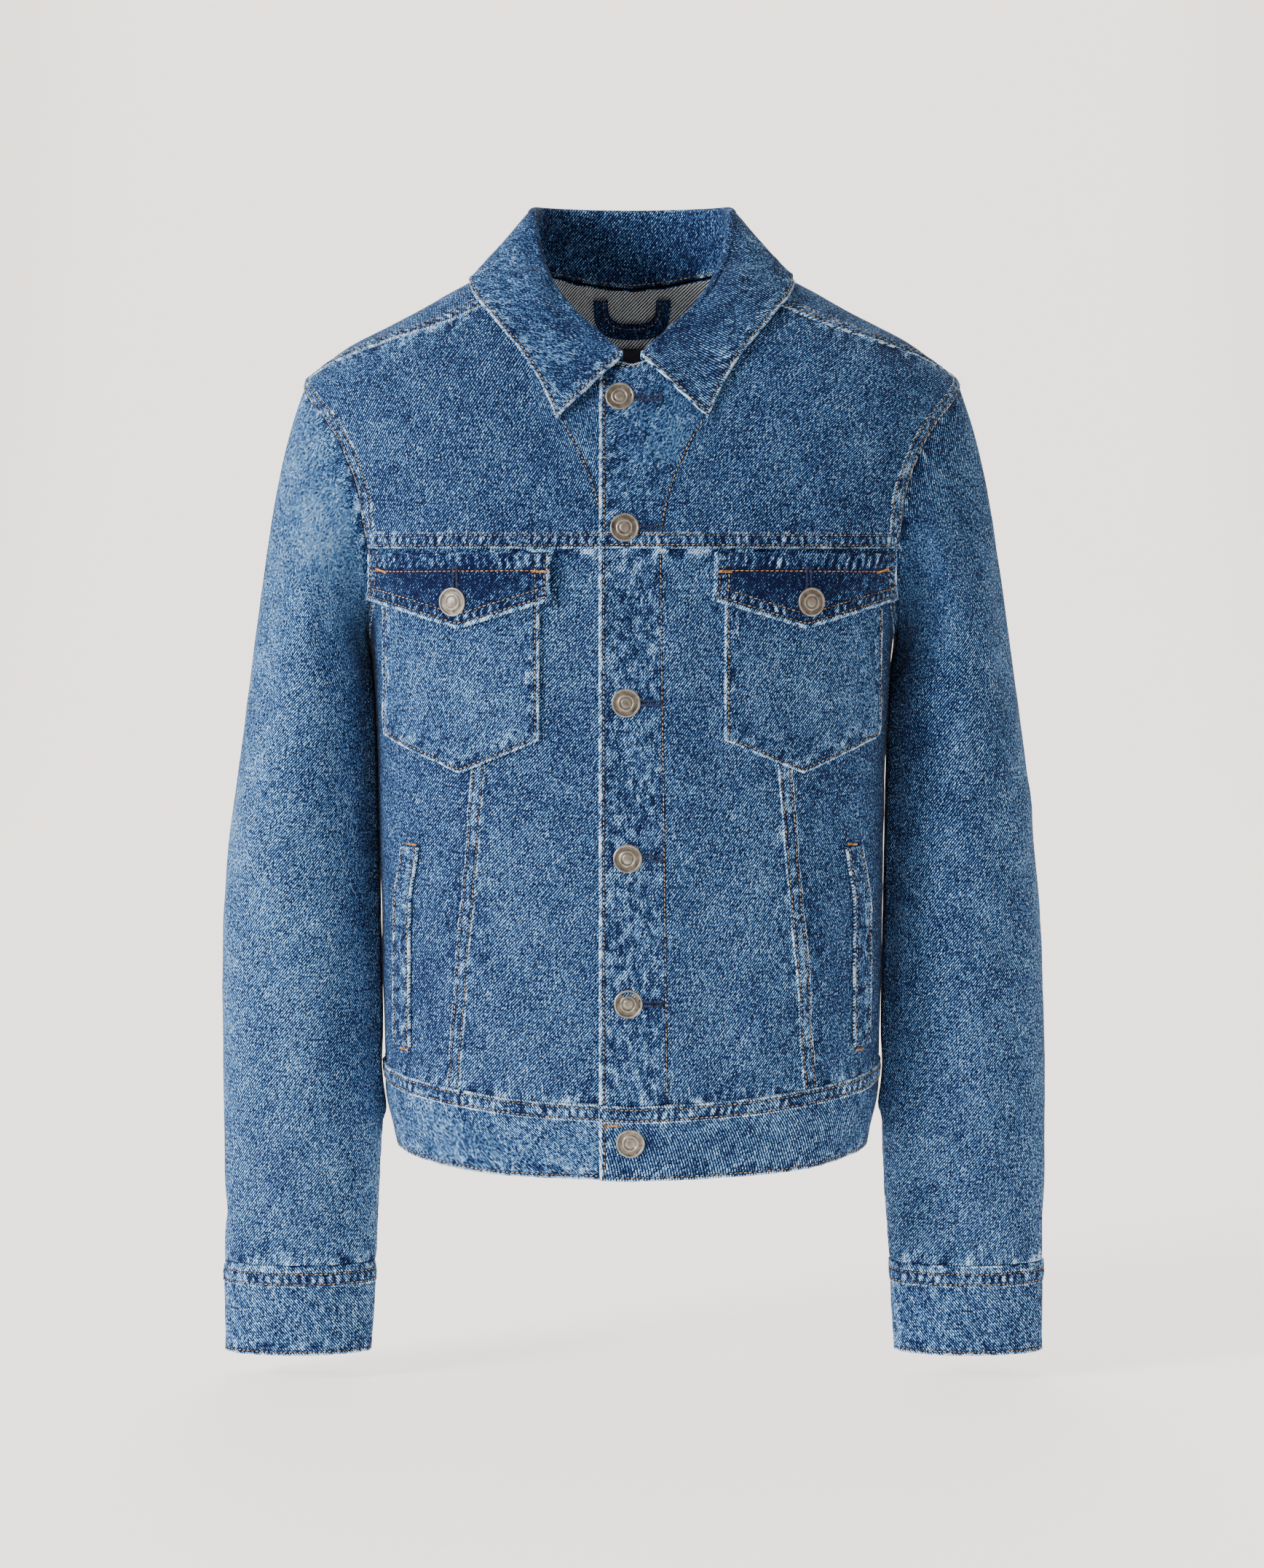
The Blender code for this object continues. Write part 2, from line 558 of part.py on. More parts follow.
def front_pieces(side):
    """The yoke, centre and side panels of one front. The wearer's left front lies on top at the closing."""
    sign = 1 if side == "L" else -1
    mirror = np.array([sign, 1, 1])
    edge = -PLACKET_EDGE
    lift = FRONT_LAYER if side == "L" else 0.0

    def shaped(grid):
        raised = front_lift(grid, lift) if lift else 0.0
        return on_body(grid, lift=raised)

    # Everything is laid out for the wearer's left, x > 0, and mirrored where it is the right front.
    yoke_edge = spread(face_point(edge, np.linspace(YOKE_Z, smooth(9.0, NECK, 1), 80)), 9)
    neck_start = yoke_edge[-1]
    start_turn = math.degrees(math.atan2(neck_start[0], -neck_start[1]))
    neck_turns = np.linspace(start_turn, SHOULDER_SEAM[0, 0], 120)
    neck = surface_line(neck_turns, smooth(np.abs(neck_turns), NECK, 1), 6)
    yoke_edge = spread(face_point(edge, np.linspace(YOKE_Z, neck[0][2], 80)), 9)
    neck[0] = yoke_edge[-1]
    shoulder = shoulder_line("L", 6)
    shoulder[0] = neck[-1]
    top = np.concatenate([neck, shoulder[1:]])
    arm = armhole_line("L", YOKE_LAP, SEAM_LAP, 9)
    arm[-1] = top[-1]
    arm_turn = turn_of(arm[0])
    edge_turn = math.degrees(math.atan2(edge, -yoke_edge[0][1]))
    chest = surface_line(np.linspace(edge_turn, arm_turn, 200), YOKE_Z, 12)
    chest[0], chest[-1] = yoke_edge[0], arm[0]
    yoke = evened(pushed_out(coons(chest, top, yoke_edge, arm)))
    wall(f"front_yoke_{side}", shaped((inset(yoke, YOKE_INSET) * mirror)[:, ::sign]), "denim")

    seam = line_to_waist(front_seam_x, YOKE_Z, "front", 14)
    closing = line_to_waist(lambda z: edge + 0 * z, YOKE_Z, "front", 14)
    u = np.linspace(0, 1, 10)[None, :]
    x = closing[:, 0][:, None] * (1 - u) + seam[:, 0][:, None] * u
    z = closing[:, 2][:, None] * (1 - u) + seam[:, 2][:, None] * u
    z[-1] = waist_row(x[-1])
    centre = face_point(x, z)
    wall(f"front_centre_{side}", shaped(inset(centre * mirror)[:, ::sign])[::-1], "denim")

    side_seam = torso_point(90.0, np.linspace(ARMHOLE[-1, 2], waist_z(90.0), 60))
    under = armhole_point("L", np.linspace(YOKE_LAP, 180.0, 60))
    outer = np.concatenate([spread(under, 5), spread(side_seam, 9)[1:]])
    waist = waist_line(turn_of(seam[-1]), 90.0, 10)
    waist[0], waist[-1] = seam[-1], outer[-1]
    chest_side = surface_line(np.linspace(turn_of(seam[0]), arm_turn, 60), YOKE_Z, 10)
    chest_side[0], chest_side[-1] = seam[0], outer[0]
    side_grid = onto_ring(coons(waist, chest_side, seam[::-1], outer[::-1]))
    wall(f"front_side_{side}", shaped((inset(side_grid) * mirror)[:, ::sign]), "denim")


def waist_row(x):
    """Heights of the waist seam below places given across the front."""
    z = np.full(np.shape(x), -540.0)
    for _ in range(6):
        p = face_point(x, z)
        z = waist_z(np.degrees(np.arctan2(np.abs(p[..., 0]), -p[..., 1])))
    return z


def onto_ring(p):
    """Points moved straight out or in to the torso at their own height."""
    power = ring(p[..., 2])[3]
    scale = torso_level(p) ** (-1 / power)
    return p * np.stack([scale, scale, np.ones_like(scale)], axis=-1)


def back_pieces():
    """The yoke over both shoulders, the centre panel and two side panels."""
    left = armhole_line("R", BACK_LAP, SEAM_LAP, 10)
    right = armhole_line("L", BACK_LAP, SEAM_LAP, 10)
    shoulder = {side: shoulder_line(side, 6) for side in "RL"}
    start = SHOULDER_SEAM[0, 0]
    turns = np.linspace(-start, start - 360.0, 240)
    neck = surface_line(turns, smooth(folded_turn(turns), NECK, 1), 10)
    top = np.concatenate([shoulder["R"][::-1], neck[1:-1], shoulder["L"]])
    left[-1], right[-1] = top[0], top[-1]
    first = -turn_of(left[0])
    bottom = surface_line(np.linspace(first, -360.0 - first, 200), BACK_YOKE_Z, len(top) - 1)
    bottom[0], bottom[-1] = left[0], right[0]
    yoke = evened(pushed_out(coons(bottom, top, left, right)))
    wall("back_yoke", on_body(inset(yoke, YOKE_INSET))[:, ::-1], "denim")

    seam = line_to_waist(back_seam_x, BACK_YOKE_Z, "back", 14)
    columns = 12
    u = np.linspace(-1, 1, columns + 1)[None, :]
    x = seam[:, 0][:, None] * u
    z = seam[:, 2][:, None] + 0 * u
    z[-1] = smooth(180.0 - np.degrees(np.arctan2(np.abs(x[-1]), 110.0)), WAIST_TOP, 1)
    centre = face_point(x, z, "back")
    wall("back_centre", on_body(inset(centre)), "denim")

    for side in "RL":
        sign = 1 if side == "L" else -1
        mirror = np.array([sign, 1, 1])
        side_seam = torso_point(90.0, np.linspace(ARMHOLE[-1, 2], waist_z(90.0), 60))
        under = armhole_point("L", np.linspace(BACK_LAP, -180.0, 60))
        outer = np.concatenate([spread(under, 6), spread(side_seam, 8)[1:]])
        waist = waist_line(turn_of(seam[-1]), 90.0, 7)
        waist[0], waist[-1] = seam[-1], outer[-1]
        yoke_row = surface_line(np.linspace(turn_of(seam[0]), turn_of(outer[0]), 60), BACK_YOKE_Z, 7)
        yoke_row[0], yoke_row[-1] = seam[0], outer[0]
        panel = onto_ring(coons(waist, yoke_row, seam[::-1], outer[::-1]))
        wall(f"back_side_{side}", on_body((inset(panel) * mirror)[:, ::-sign]), "denim")


def waistband():
    """One strip from the lower front's end, round the wearer's right, the back and the left, over itself."""
    end = turn_of(face_point(PLACKET_EDGE, WAIST_TOP[0, 1]))
    turns = np.linspace(end, -360.0 - end, 51)[None, :]
    folded = folded_turn(turns)
    top, bottom = smooth(folded, WAIST_TOP, 1) - GAP, smooth(folded, WAIST_BOTTOM, 1)
    v = np.linspace(0, 1, 5)[:, None]
    grid = torso_point(turns + 0 * v, bottom * (1 - v) + top * v)
    upper = turns < -180.0
    lift = np.where(upper, front_lift(grid, WAIST_LAYER), 0.0)
    wall("waistband", on_body(grid, lift=lift)[:, ::-1], "denim", THICK_WALL)


def collar():
    """The stand rises from the neck seam, rolls over and falls as the leaf."""
    along = np.concatenate([np.linspace(0, 1, 16), 2 - np.linspace(0, 1, 16)[-2::-1]])
    at = np.interp(np.minimum(along, 2 - along), [0, 1], [0, len(COLLAR) - 1])
    rows = np.column_stack([np.arange(len(COLLAR)), COLLAR])
    turn, roll_x, roll_y, roll_z, edge_turn, edge_z = [smooth(at, rows, column) for column in range(1, 7)]
    sign = np.where(along <= 1, -1.0, 1.0)
    mirror = points(sign, 1.0, 1.0)
    seam = torso_point(turn, smooth(turn, NECK, 1)) * mirror
    roll = points(sign * roll_x, roll_y, roll_z)
    out = unit(points(roll[:, 0], roll[:, 1], 0.0))
    centre = roll - np.array([0, 0, ROLL_RADIUS])
    flat_edge = torso_point(edge_turn, edge_z) * mirror
    leaf_edge = flat_edge + torso_normal(flat_edge) * LEAF_CLEAR
    stand_top = centre - out * ROLL_RADIUS
    seam = seam + unit(stand_top - seam) * STAND_RISE
    stand = [seam + (stand_top - seam) * t for t in (0.0, 0.33, 0.67)]
    fold = [
        centre + (-out * math.cos(a) + np.array([0, 0, 1.0]) * math.sin(a)) * ROLL_RADIUS
        for a in np.radians((0, 60, 120, 180))
    ]
    start = fold[-1]
    bulge = torso_normal(flat_edge) * LEAF_BULGE[0] + out * LEAF_BULGE[1]
    leaf = []
    for t in LEAF_STEPS:
        line = start + (leaf_edge - start) * t + bulge * (t * (1 - t))
        short = np.maximum(LEAF_CLEAR * eased(t / CLEAR_FROM) - torso_distance(line), 0.0)
        leaf.append(line + torso_normal(line) * short[:, None])
    grid = np.stack(stand + fold + leaf)
    wall("collar", grid[:, ::-1], "denim_dark", COLLAR_WALL)


def flap_and_pocket(side):
    sign = 1 if side == "L" else -1
    u = np.linspace(0, 1, 13)
    x = FLAP["inner"] + (FLAP["outer"] - FLAP["inner"]) * u
    peak = 1 - np.abs(2 * u - 1)
    v = np.linspace(0, 1, 5)[:, None]
    low = FLAP_TOP_Z - FLAP["side"] - (FLAP["point"] - FLAP["side"]) * peak
    z = FLAP_TOP_Z + (low - FLAP_TOP_Z) * v
    p = face_point(sign * x + 0 * z, z)
    lift = front_lift(p, FRONT_LAYER) if side == "L" else 0.0
    wall(f"pocket_flap_{side}", on_body(p, 2 * LAYER, lift)[:, ::-sign], "denim_dark")

    x = POCKET["inner"] + (POCKET["outer"] - POCKET["inner"]) * u
    low = POCKET["side"] + (POCKET["point"] - POCKET["side"]) * peak
    v = np.linspace(0, 1, 9)[:, None]
    z = POCKET["top"] + (low - POCKET["top"]) * v
    p = face_point(sign * x + 0 * z, z)
    lift = front_lift(p, FRONT_LAYER) if side == "L" else 0.0
    wall(f"chest_pocket_{side}", on_body(p, LAYER, lift)[:, ::-sign], "denim_light")


def welt(side):
    sign = 1 if side == "L" else -1
    z = np.linspace(WELT[0, 1], WELT[-1, 1], 9)[:, None]
    x = smooth(z, WELT[:, ::-1], 1)
    u = np.linspace(0, WELT_WIDTH, 3)[None, :]
    p = face_point(sign * (x + u), z + 0 * u)
    wall(f"welt_{side}", on_body(p, LAYER)[:, ::-sign], "denim")


def inner_trim():
    x = np.linspace(-LABEL_HALF, LABEL_HALF, 6)[None, :]
    z = np.linspace(LABEL_TOP, LABEL_BOTTOM, 5)[:, None]
    p = face_point(x + 0 * z, z + 0 * x, "back")
    wall("neck_label", on_body(p, -LABEL_DEPTH), "label_cloth", LABEL_WALL)

    arc = np.linspace(0, math.pi, 15)[None, :]
    across = np.linspace(0, LOOP_WIDTH, 3)[:, None]
    ring_x = np.sign(np.cos(arc)) * np.abs(np.cos(arc)) ** LOOP_SQUARE * (LOOP_HALF - across)
    ring_z = LOOP_TOP - np.sin(arc) ** LOOP_SQUARE * (LOOP_TOP - LOOP_LOW - across)
    p = face_point(ring_x, ring_z, "back")
    wall("hanger_loop", on_body(p, -LOOP_DEPTH), "denim_dark", LOOP_WALL)


def button(name, place, facing):
    """A shank button turned about its own axis, its back on the cloth."""
    mesh = bpy.data.meshes.new(name)
    corners = [(radius * MM, 0.0, height * MM) for radius, height in BUTTON]
    mesh.from_pydata(corners, [(i, i + 1) for i in range(len(corners) - 1)], [])
    obj = add_object(name, mesh, "pewter")
    screw = obj.modifiers.new("turned", "SCREW")
    screw.axis = "Z"
    screw.steps = screw.render_steps = BUTTON_STEPS
    screw.use_merge_vertices = True
    screw.merge_threshold = 0.0001
    screw.use_smooth_shade = True
    screw.use_normal_flip = True
    obj.rotation_euler = Vector(facing).to_track_quat("Z", "Y").to_euler()
    obj.location = Vector(place) * MM


def buttons():
    for number, (z, x) in enumerate(zip(BUTTON_HEIGHTS, BUTTON_SHIFTS), 1):
        p = face_point(x, z)
        facing = torso_normal(p)
        layer, thickness = (WAIST_LAYER, THICK_WALL) if number == len(BUTTON_HEIGHTS) else (FRONT_LAYER, WALL)
        out = body_relief(p) + layer + thickness / 2 + GAP
        button(f"button_front_{number}", p + facing * out, facing)
    for side, sign in (("R", -1), ("L", 1)):
        middle = (FLAP["outer"] + FLAP["inner"]) / 2 + FLAP_BUTTON[0]
        p = face_point(sign * middle, FLAP_TOP_Z - FLAP_BUTTON[1])
        facing = torso_normal(p)
        out = body_relief(p) + 2 * LAYER + WALL / 2 + GAP
        button(f"button_pocket_{side}", p + facing * out, facing)
        z = (CUFF_TOP + CUFF_BOTTOM) / 2
        p = sleeve_ring(side, CUFF_BUTTON_LAP, z)
        along = sleeve_ring(side, CUFF_BUTTON_LAP + 1.0, z) - sleeve_ring(side, CUFF_BUTTON_LAP - 1.0, z)
        up = sleeve_ring(side, CUFF_BUTTON_LAP, z + 1.0) - sleeve_ring(side, CUFF_BUTTON_LAP, z - 1.0)
        facing = unit(np.cross(up, along)) * sign
        button(f"button_cuff_{side}", p + facing * CUFF_BUTTON_OUT, facing)


def main():
    for obj in list(bpy.data.objects):
        bpy.data.objects.remove(obj)
    collection = bpy.data.collections.new(OBJECT)
    bpy.context.scene.collection.children.link(collection)
    for side in "RL":
        front_pieces(side)
        for name, start, end, columns in (
            ("sleeve_upper", BACK_SLEEVE_SEAM - 360.0, FRONT_SLEEVE_SEAM, 18),
            ("sleeve_under", FRONT_SLEEVE_SEAM, BACK_SLEEVE_SEAM, 7),
        ):
            grid = inset(sleeve_grid(side, start, end, columns), 0.2)
            wall(f"{name}_{side}", grid[:, :: -1 if side == "R" else 1], "denim_light")
        cuff = cuff_grid(side)
        wall(f"cuff_{side}", cuff[:, :: 1 if side == "R" else -1], "denim", THICK_WALL)
        flap_and_pocket(side)
        welt(side)
    back_pieces()
    waistband()
    collar()
    inner_trim()
    buttons()


main()
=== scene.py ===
"""Looks of the denim jacket: the CAD's forms at a finer step, with creases, felled seams, sewing, shank
buttons and washed denim.

Sizes below are millimetres, and MM turns them into metres when a mesh is made. A turn is an angle round the
torso: 0 centre front, 90 the side, 180 centre back. A lap is the angle round a sleeve: 0 outermost, 90
front, 180 innermost, 270 back. The wearer's left, "L", is at +X.
"""

import json
import math

import bpy
import numpy as np
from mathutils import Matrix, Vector

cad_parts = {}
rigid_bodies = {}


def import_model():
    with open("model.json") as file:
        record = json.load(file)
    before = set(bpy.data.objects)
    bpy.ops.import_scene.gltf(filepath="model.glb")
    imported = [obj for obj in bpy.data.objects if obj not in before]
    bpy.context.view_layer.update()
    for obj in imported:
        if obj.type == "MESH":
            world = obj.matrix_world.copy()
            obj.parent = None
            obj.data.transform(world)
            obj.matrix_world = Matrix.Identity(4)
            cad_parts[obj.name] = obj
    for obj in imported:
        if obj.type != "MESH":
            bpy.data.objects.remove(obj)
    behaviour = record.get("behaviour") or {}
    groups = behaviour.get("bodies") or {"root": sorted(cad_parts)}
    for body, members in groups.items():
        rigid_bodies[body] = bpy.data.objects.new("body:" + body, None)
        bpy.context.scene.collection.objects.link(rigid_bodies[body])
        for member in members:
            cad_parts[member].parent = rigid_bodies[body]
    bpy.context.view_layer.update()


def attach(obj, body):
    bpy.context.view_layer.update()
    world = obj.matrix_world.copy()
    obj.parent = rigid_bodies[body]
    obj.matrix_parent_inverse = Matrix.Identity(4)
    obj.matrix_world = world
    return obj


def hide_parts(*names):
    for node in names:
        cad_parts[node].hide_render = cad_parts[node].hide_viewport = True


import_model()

MM = 0.001

# ---- cloth ----
WALL = 1.5
THICK_WALL = 2.2  # collar, waistband and cuffs are sewn from two layers
GAP = 0.3  # between two pieces at a seam
YOKE_INSET = 0.32  # each side of a yoke's seam, where the two walls meet at a slight angle
LAYER = WALL + GAP + 0.25  # from the middle of a panel to the middle of a patch that lies on it

# ---- torso rings: height, half width, depth to the front, depth to the back, squareness ----
TORSO = np.array([
    (22.0, 52.0, 36.0, 36.0, 2.3),
    (15.0, 77.0, 46.0, 48.0, 2.3),
    (4.5, 103.5, 58.0, 58.5, 2.4),
    (-20.5, 150.0, 70.0, 80.0, 2.4),
    (-41.5, 189.5, 79.0, 95.0, 2.5),
    (-58.0, 212.0, 86.0, 103.0, 2.5),
    (-66.5, 221.0, 89.0, 106.0, 2.5),
    (-78.0, 223.0, 93.5, 109.0, 2.5),
    (-92.0, 220.0, 98.5, 112.0, 2.5),
    (-108.0, 216.0, 103.5, 115.0, 2.5),
    (-131.0, 211.0, 110.0, 118.5, 2.5),
    (-150.0, 205.5, 114.5, 120.5, 2.55),
    (-172.0, 196.0, 119.5, 121.5, 2.6),
    (-210.0, 181.0, 124.0, 121.0, 2.6),
    (-238.0, 177.0, 125.5, 120.0, 2.6),
    (-286.0, 173.5, 126.0, 117.0, 2.6),
    (-394.0, 171.5, 124.0, 112.0, 2.6),
    (-500.0, 169.5, 121.5, 110.0, 2.55),
    (-545.0, 168.5, 120.5, 110.0, 2.5),
    (-572.0, 163.5, 119.0, 108.5, 2.5),
    (-600.0, 156.0, 116.5, 105.0, 2.5),
])

# ---- neck seam: turn, height ----
NECK = np.array([
    (0.0, -58.0), (16.0, -50.0), (31.0, -34.0), (48.0, -12.0), (62.0, 4.0), (75.0, 12.0),
    (90.0, 15.0), (110.0, 13.0), (135.0, 7.0), (160.0, 2.0), (180.0, 0.0),
])

# ---- shoulder seam, forward of the ridge: turn, height; it ends on the armhole ----
SHOULDER_SEAM = np.array([(54.0, -4.9), (60.5, -16.0), (66.0, -28.0), (75.0, -44.0), (82.0, -56.0)])

# ---- armhole loop: lap, degrees forward or back from the side, height ----
ARMHOLE = np.array([
    (0.0, 0.0, -66.5), (20.0, 5.5, -72.5), (41.5, 12.0, -88.0), (59.0, 16.5, -108.0), (76.0, 19.8, -131.5),
    (90.0, 21.4, -150.0), (105.0, 21.2, -173.0), (125.0, 18.0, -200.0), (145.0, 12.5, -221.0),
    (165.0, 5.5, -234.5), (180.0, 0.0, -238.0),
])
SEAM_LAP = 8.0  # where the shoulder seam meets the armhole
YOKE_LAP = 108.5  # where the chest seam meets it
BACK_LAP = -90.0  # where the back yoke's seam meets it

# ---- seams across the torso ----
YOKE_Z = -178.0
BACK_YOKE_Z = -150.0
WAIST_TOP = np.array([(0.0, -544.0), (30.0, -541.0), (60.0, -533.0), (90.0, -527.0), (180.0, -529.0)])
WAIST_BOTTOM = np.array([(0.0, -594.0), (40.0, -592.0), (90.0, -583.0), (180.0, -584.0)])
FRONT_SEAM_TOP, FRONT_SEAM_BOTTOM = 89.0, 118.5  # across from centre front, at the chest seam and the waist
BACK_SEAM_TOP, BACK_SEAM_BOTTOM = 128.0, 78.0  # across from centre back

# ---- closing at centre front ----
PLACKET_EDGE = 21.5  # each front passes the centre by this much
LIFT_END = 58.0  # the upper front is back down on the ring this far out
FRONT_LAYER = 2.2  # how far the upper front is raised over the lower one
WAIST_LAYER = 2.9

# ---- sleeves: height, outermost, innermost, half depth, middle of the depth ----
SLEEVE = {
    "R": np.array([
        (-286.0, 263.0, 177.0, 62.0, -3.0), (-340.0, 270.5, 175.8, 60.0, -4.0),
        (-394.0, 277.0, 174.8, 57.0, -5.0), (-450.0, 280.0, 173.8, 53.0, -7.0),
        (-500.0, 280.5, 173.0, 49.0, -9.0), (-560.0, 280.0, 172.4, 43.0, -11.0),
        (-610.0, 279.5, 174.5, 35.0, -13.0), (-666.0, 279.5, 177.0, 28.0, -15.0),
        (-729.0, 279.0, 181.0, 21.0, -16.0),
    ]),
    "L": np.array([
        (-286.0, 263.5, 177.0, 60.0, -3.0), (-340.0, 271.0, 175.8, 59.0, -4.0),
        (-394.0, 276.5, 174.8, 57.0, -5.0), (-450.0, 280.5, 173.8, 53.0, -7.0),
        (-500.0, 282.0, 173.0, 49.0, -9.0), (-560.0, 283.0, 172.4, 43.0, -11.0),
        (-610.0, 283.0, 174.0, 35.0, -13.0), (-666.0, 281.5, 178.0, 28.0, -15.0),
        (-729.0, 281.5, 182.0, 21.0, -16.0),
    ]),
}
CAP_END = -286.0
CUFF_TOP = -666.0
CUFF_BOTTOM = -729.0
FRONT_SLEEVE_SEAM, BACK_SLEEVE_SEAM = 178.0, 262.0
CUFF_START, CUFF_TURN = 258.0, 382.0  # the strip starts at the back and laps over itself
CUFF_RISE = 300.0, 45.0  # how far round the strip starts to rise over its own start, and over how much
CUFF_LAYER = THICK_WALL + GAP + 0.3
# ---- how a sleeve leaves the armhole: lap, outwards, downwards, reach, start inside the loop ----
# The start grows with the angle between the sleeve's wall and the panel's, which keeps their edges apart.
SLEEVE_START = np.array([
    (0.0, 0.30, 0.95, 52.0, 0.85), (45.0, 0.60, 0.80, 46.0, 0.9), (90.0, 0.85, 0.52, 40.0, 1.15),
    (112.0, 0.93, 0.35, 31.0, 1.45), (135.0, 0.98, 0.20, 22.0, 1.2), (160.0, 1.0, 0.05, 13.0, 1.05),
    (180.0, 1.0, 0.0, 9.0, 1.05),
])
ARM_MIDDLE = 228.0  # across to the middle of a hanging sleeve
ARM_DEGREE = 0.95  # mm round a sleeve for a degree of lap
# The left sleeve has the right one's folds turned round it, so that the two aren't alike.
LEFT_FOLDS_TURN, LEFT_CREASES_TURN = 12.0, -7.0
LEFT_WAVES_SHIFT = 40.0  # mm round the sleeve
ARRIVE_PULL = 0.36  # share of the cap's length over which it turns to hang straight down

# ---- largest folds of the body: first end across and up, last end across and up, width, height ----
BODY_FOLDS = {
    "front": (
        (-150.0, -336.0, -104.0, -392.0, 14.0, -2.4), (152.0, -338.0, 106.0, -400.0, 14.0, -2.4),
        (-128.0, -400.0, -58.0, -520.0, 15.0, 2.2), (132.0, -420.0, 66.0, -528.0, 16.0, 2.4),
    ),
    "back": (
        (-140.0, -240.0, -70.0, -330.0, 16.0, -3.4), (140.0, -250.0, 66.0, -345.0, 16.0, -3.4),
        (-110.0, -455.0, 30.0, -490.0, 15.0, 3.2), (96.0, -430.0, 20.0, -515.0, 14.0, 2.6),
    ),
}
# ---- largest folds of a sleeve: first end lap and height, last end lap and height, width in mm, height ----
SLEEVE_FOLDS = (
    (38.0, -150.0, 62.0, -330.0, 12.0, -2.6),
    (20.0, -330.0, 70.0, -400.0, 13.0, 2.4),
    (110.0, -410.0, 48.0, -470.0, 11.0, -2.8),
    (-70.0, -370.0, 10.0, -425.0, 12.0, -3.0),
    (-95.0, -430.0, -25.0, -480.0, 12.0, 3.0),
    (70.0, -560.0, 120.0, -640.0, 11.0, 2.2),
    (-60.0, -610.0, 30.0, -640.0, 11.0, -2.2),
)

# ---- collar: turn of the neck seam; roll across, forward, up; turn and height of the leaf's edge ----
COLLAR = np.array([
    (5.0, 7.0, -89.5, -49.5, 26.8, -93.0),
    (16.0, 22.0, -80.0, -35.0, 31.5, -77.0),
    (31.0, 40.0, -67.0, -18.5, 38.5, -58.0),
    (48.0, 55.0, -50.0, 2.0, 49.0, -37.0),
    (62.0, 62.5, -34.0, 21.0, 62.0, -16.0),
    (75.0, 66.5, -17.0, 42.0, 76.0, -0.5),
    (90.0, 67.5, 0.0, 51.0, 92.0, 6.5),
    (110.0, 65.0, 22.0, 54.0, 112.0, 1.0),
    (135.0, 49.0, 43.0, 54.5, 138.0, -9.0),
    (160.0, 22.0, 55.0, 54.5, 161.0, -16.0),
    (180.0, 0.0, 57.5, 54.5, 180.0, -18.0),
])
ROLL_RADIUS = 2.8
LEAF_CLEAR = 3.2  # from the middle of the yoke to the middle of the leaf at its edge
STAND_RISE = 1.9  # the stand starts this far beyond the neck seam
COLLAR_WALL = 1.8
LEAF_BULGE = 4.0, 2.0  # off the shoulders, and outwards
CLEAR_FROM = 0.25  # share of the way down the leaf from which it is LEAF_CLEAR off the yoke

# ---- chest pocket and flap, on the front ring: across from centre, height ----
FLAP_TOP_Z = YOKE_Z - 2.6
FLAP = {"outer": 172.0, "inner": 53.5, "side": 31.0, "point": 49.5}
POCKET = {"outer": 164.0, "inner": 60.5, "top": -190.0, "side": -302.5, "point": -325.0}
WELT = np.array([(140.5, -376.0), (146.5, -418.0), (147.0, -511.0)])  # inner edge, top to bottom
WELT_WIDTH = 11.5

# ---- neck label and hanger loop, inside the back yoke ----
LABEL_HALF, LABEL_TOP, LABEL_BOTTOM = 31.0, -38.0, -82.0
LABEL_WALL = 0.8
LABEL_DEPTH = WALL / 2 + GAP + 1.0  # from the middle of the back yoke in to the middle of the label
LOOP_HALF, LOOP_TOP, LOOP_LOW, LOOP_WIDTH = 27.0, -5.0, -31.0, 10.0
LOOP_WALL = 1.4
LOOP_DEPTH = WALL / 2 + GAP + 1.4
LOOP_SQUARE = 0.62  # under 1 squares the bottom of the U

# ---- buttons ----
BUTTON_HEIGHTS = (-79.0, -164.5, -278.0, -380.0, -476.0, -568.5)
BUTTON_SHIFTS = (-8.0, -4.8, -3.8, -2.8, -2.4, -1.0)  # across from the centre
FLAP_BUTTON = 3.0, 32.0  # outwards from the flap's middle, and down from its top


def smooth(at, table, column):
    """The table's column as a smooth curve of its first column. It never overshoots a row."""
    rows = table[np.argsort(table[:, 0])]
    xs, ys = rows[:, 0], rows[:, column]
    steps = np.diff(xs)
    rises = np.diff(ys) / steps
    slopes = np.zeros(len(xs))
    slopes[0], slopes[-1] = rises[0], rises[-1]
    before, after = rises[:-1], rises[1:]
    same = before * after > 0
    total = np.where(same, before + after, 1.0)
    slopes[1:-1] = np.where(same, 2.0 * before * after / total, 0.0)
    at = np.clip(at, xs[0], xs[-1])
    i = np.clip(np.searchsorted(xs, at) - 1, 0, len(steps) - 1)
    t = (at - xs[i]) / steps[i]
    start = (1 + 2 * t) * (1 - t) ** 2 * ys[i] + t * (1 - t) ** 2 * steps[i] * slopes[i]
    end = t**2 * (3 - 2 * t) * ys[i + 1] + t**2 * (t - 1) * steps[i] * slopes[i + 1]
    return start + end


def eased(t):
    """0 to 1 with a soft start and end."""
    t = np.clip(t, 0.0, 1.0)
    return t * t * (3 - 2 * t)


def unit(vectors):
    return vectors / np.linalg.norm(vectors, axis=-1, keepdims=True)


def points(x, y, z):
    return np.stack(np.broadcast_arrays(x, y, z), axis=-1).astype(float)


def sign_of(side):
    return 1 if side == "L" else -1


def mirror_of(side):
    """Takes the left half's points to a side."""
    return np.array([sign_of(side), 1, 1])


def half_turns(lap):
    """Any angle as -180 to 180 degrees."""
    return (lap + 180.0) % 360.0 - 180.0


# ---- the torso surface ----


def ring(z):
    return [smooth(z, TORSO, column) for column in (1, 2, 3, 4)]


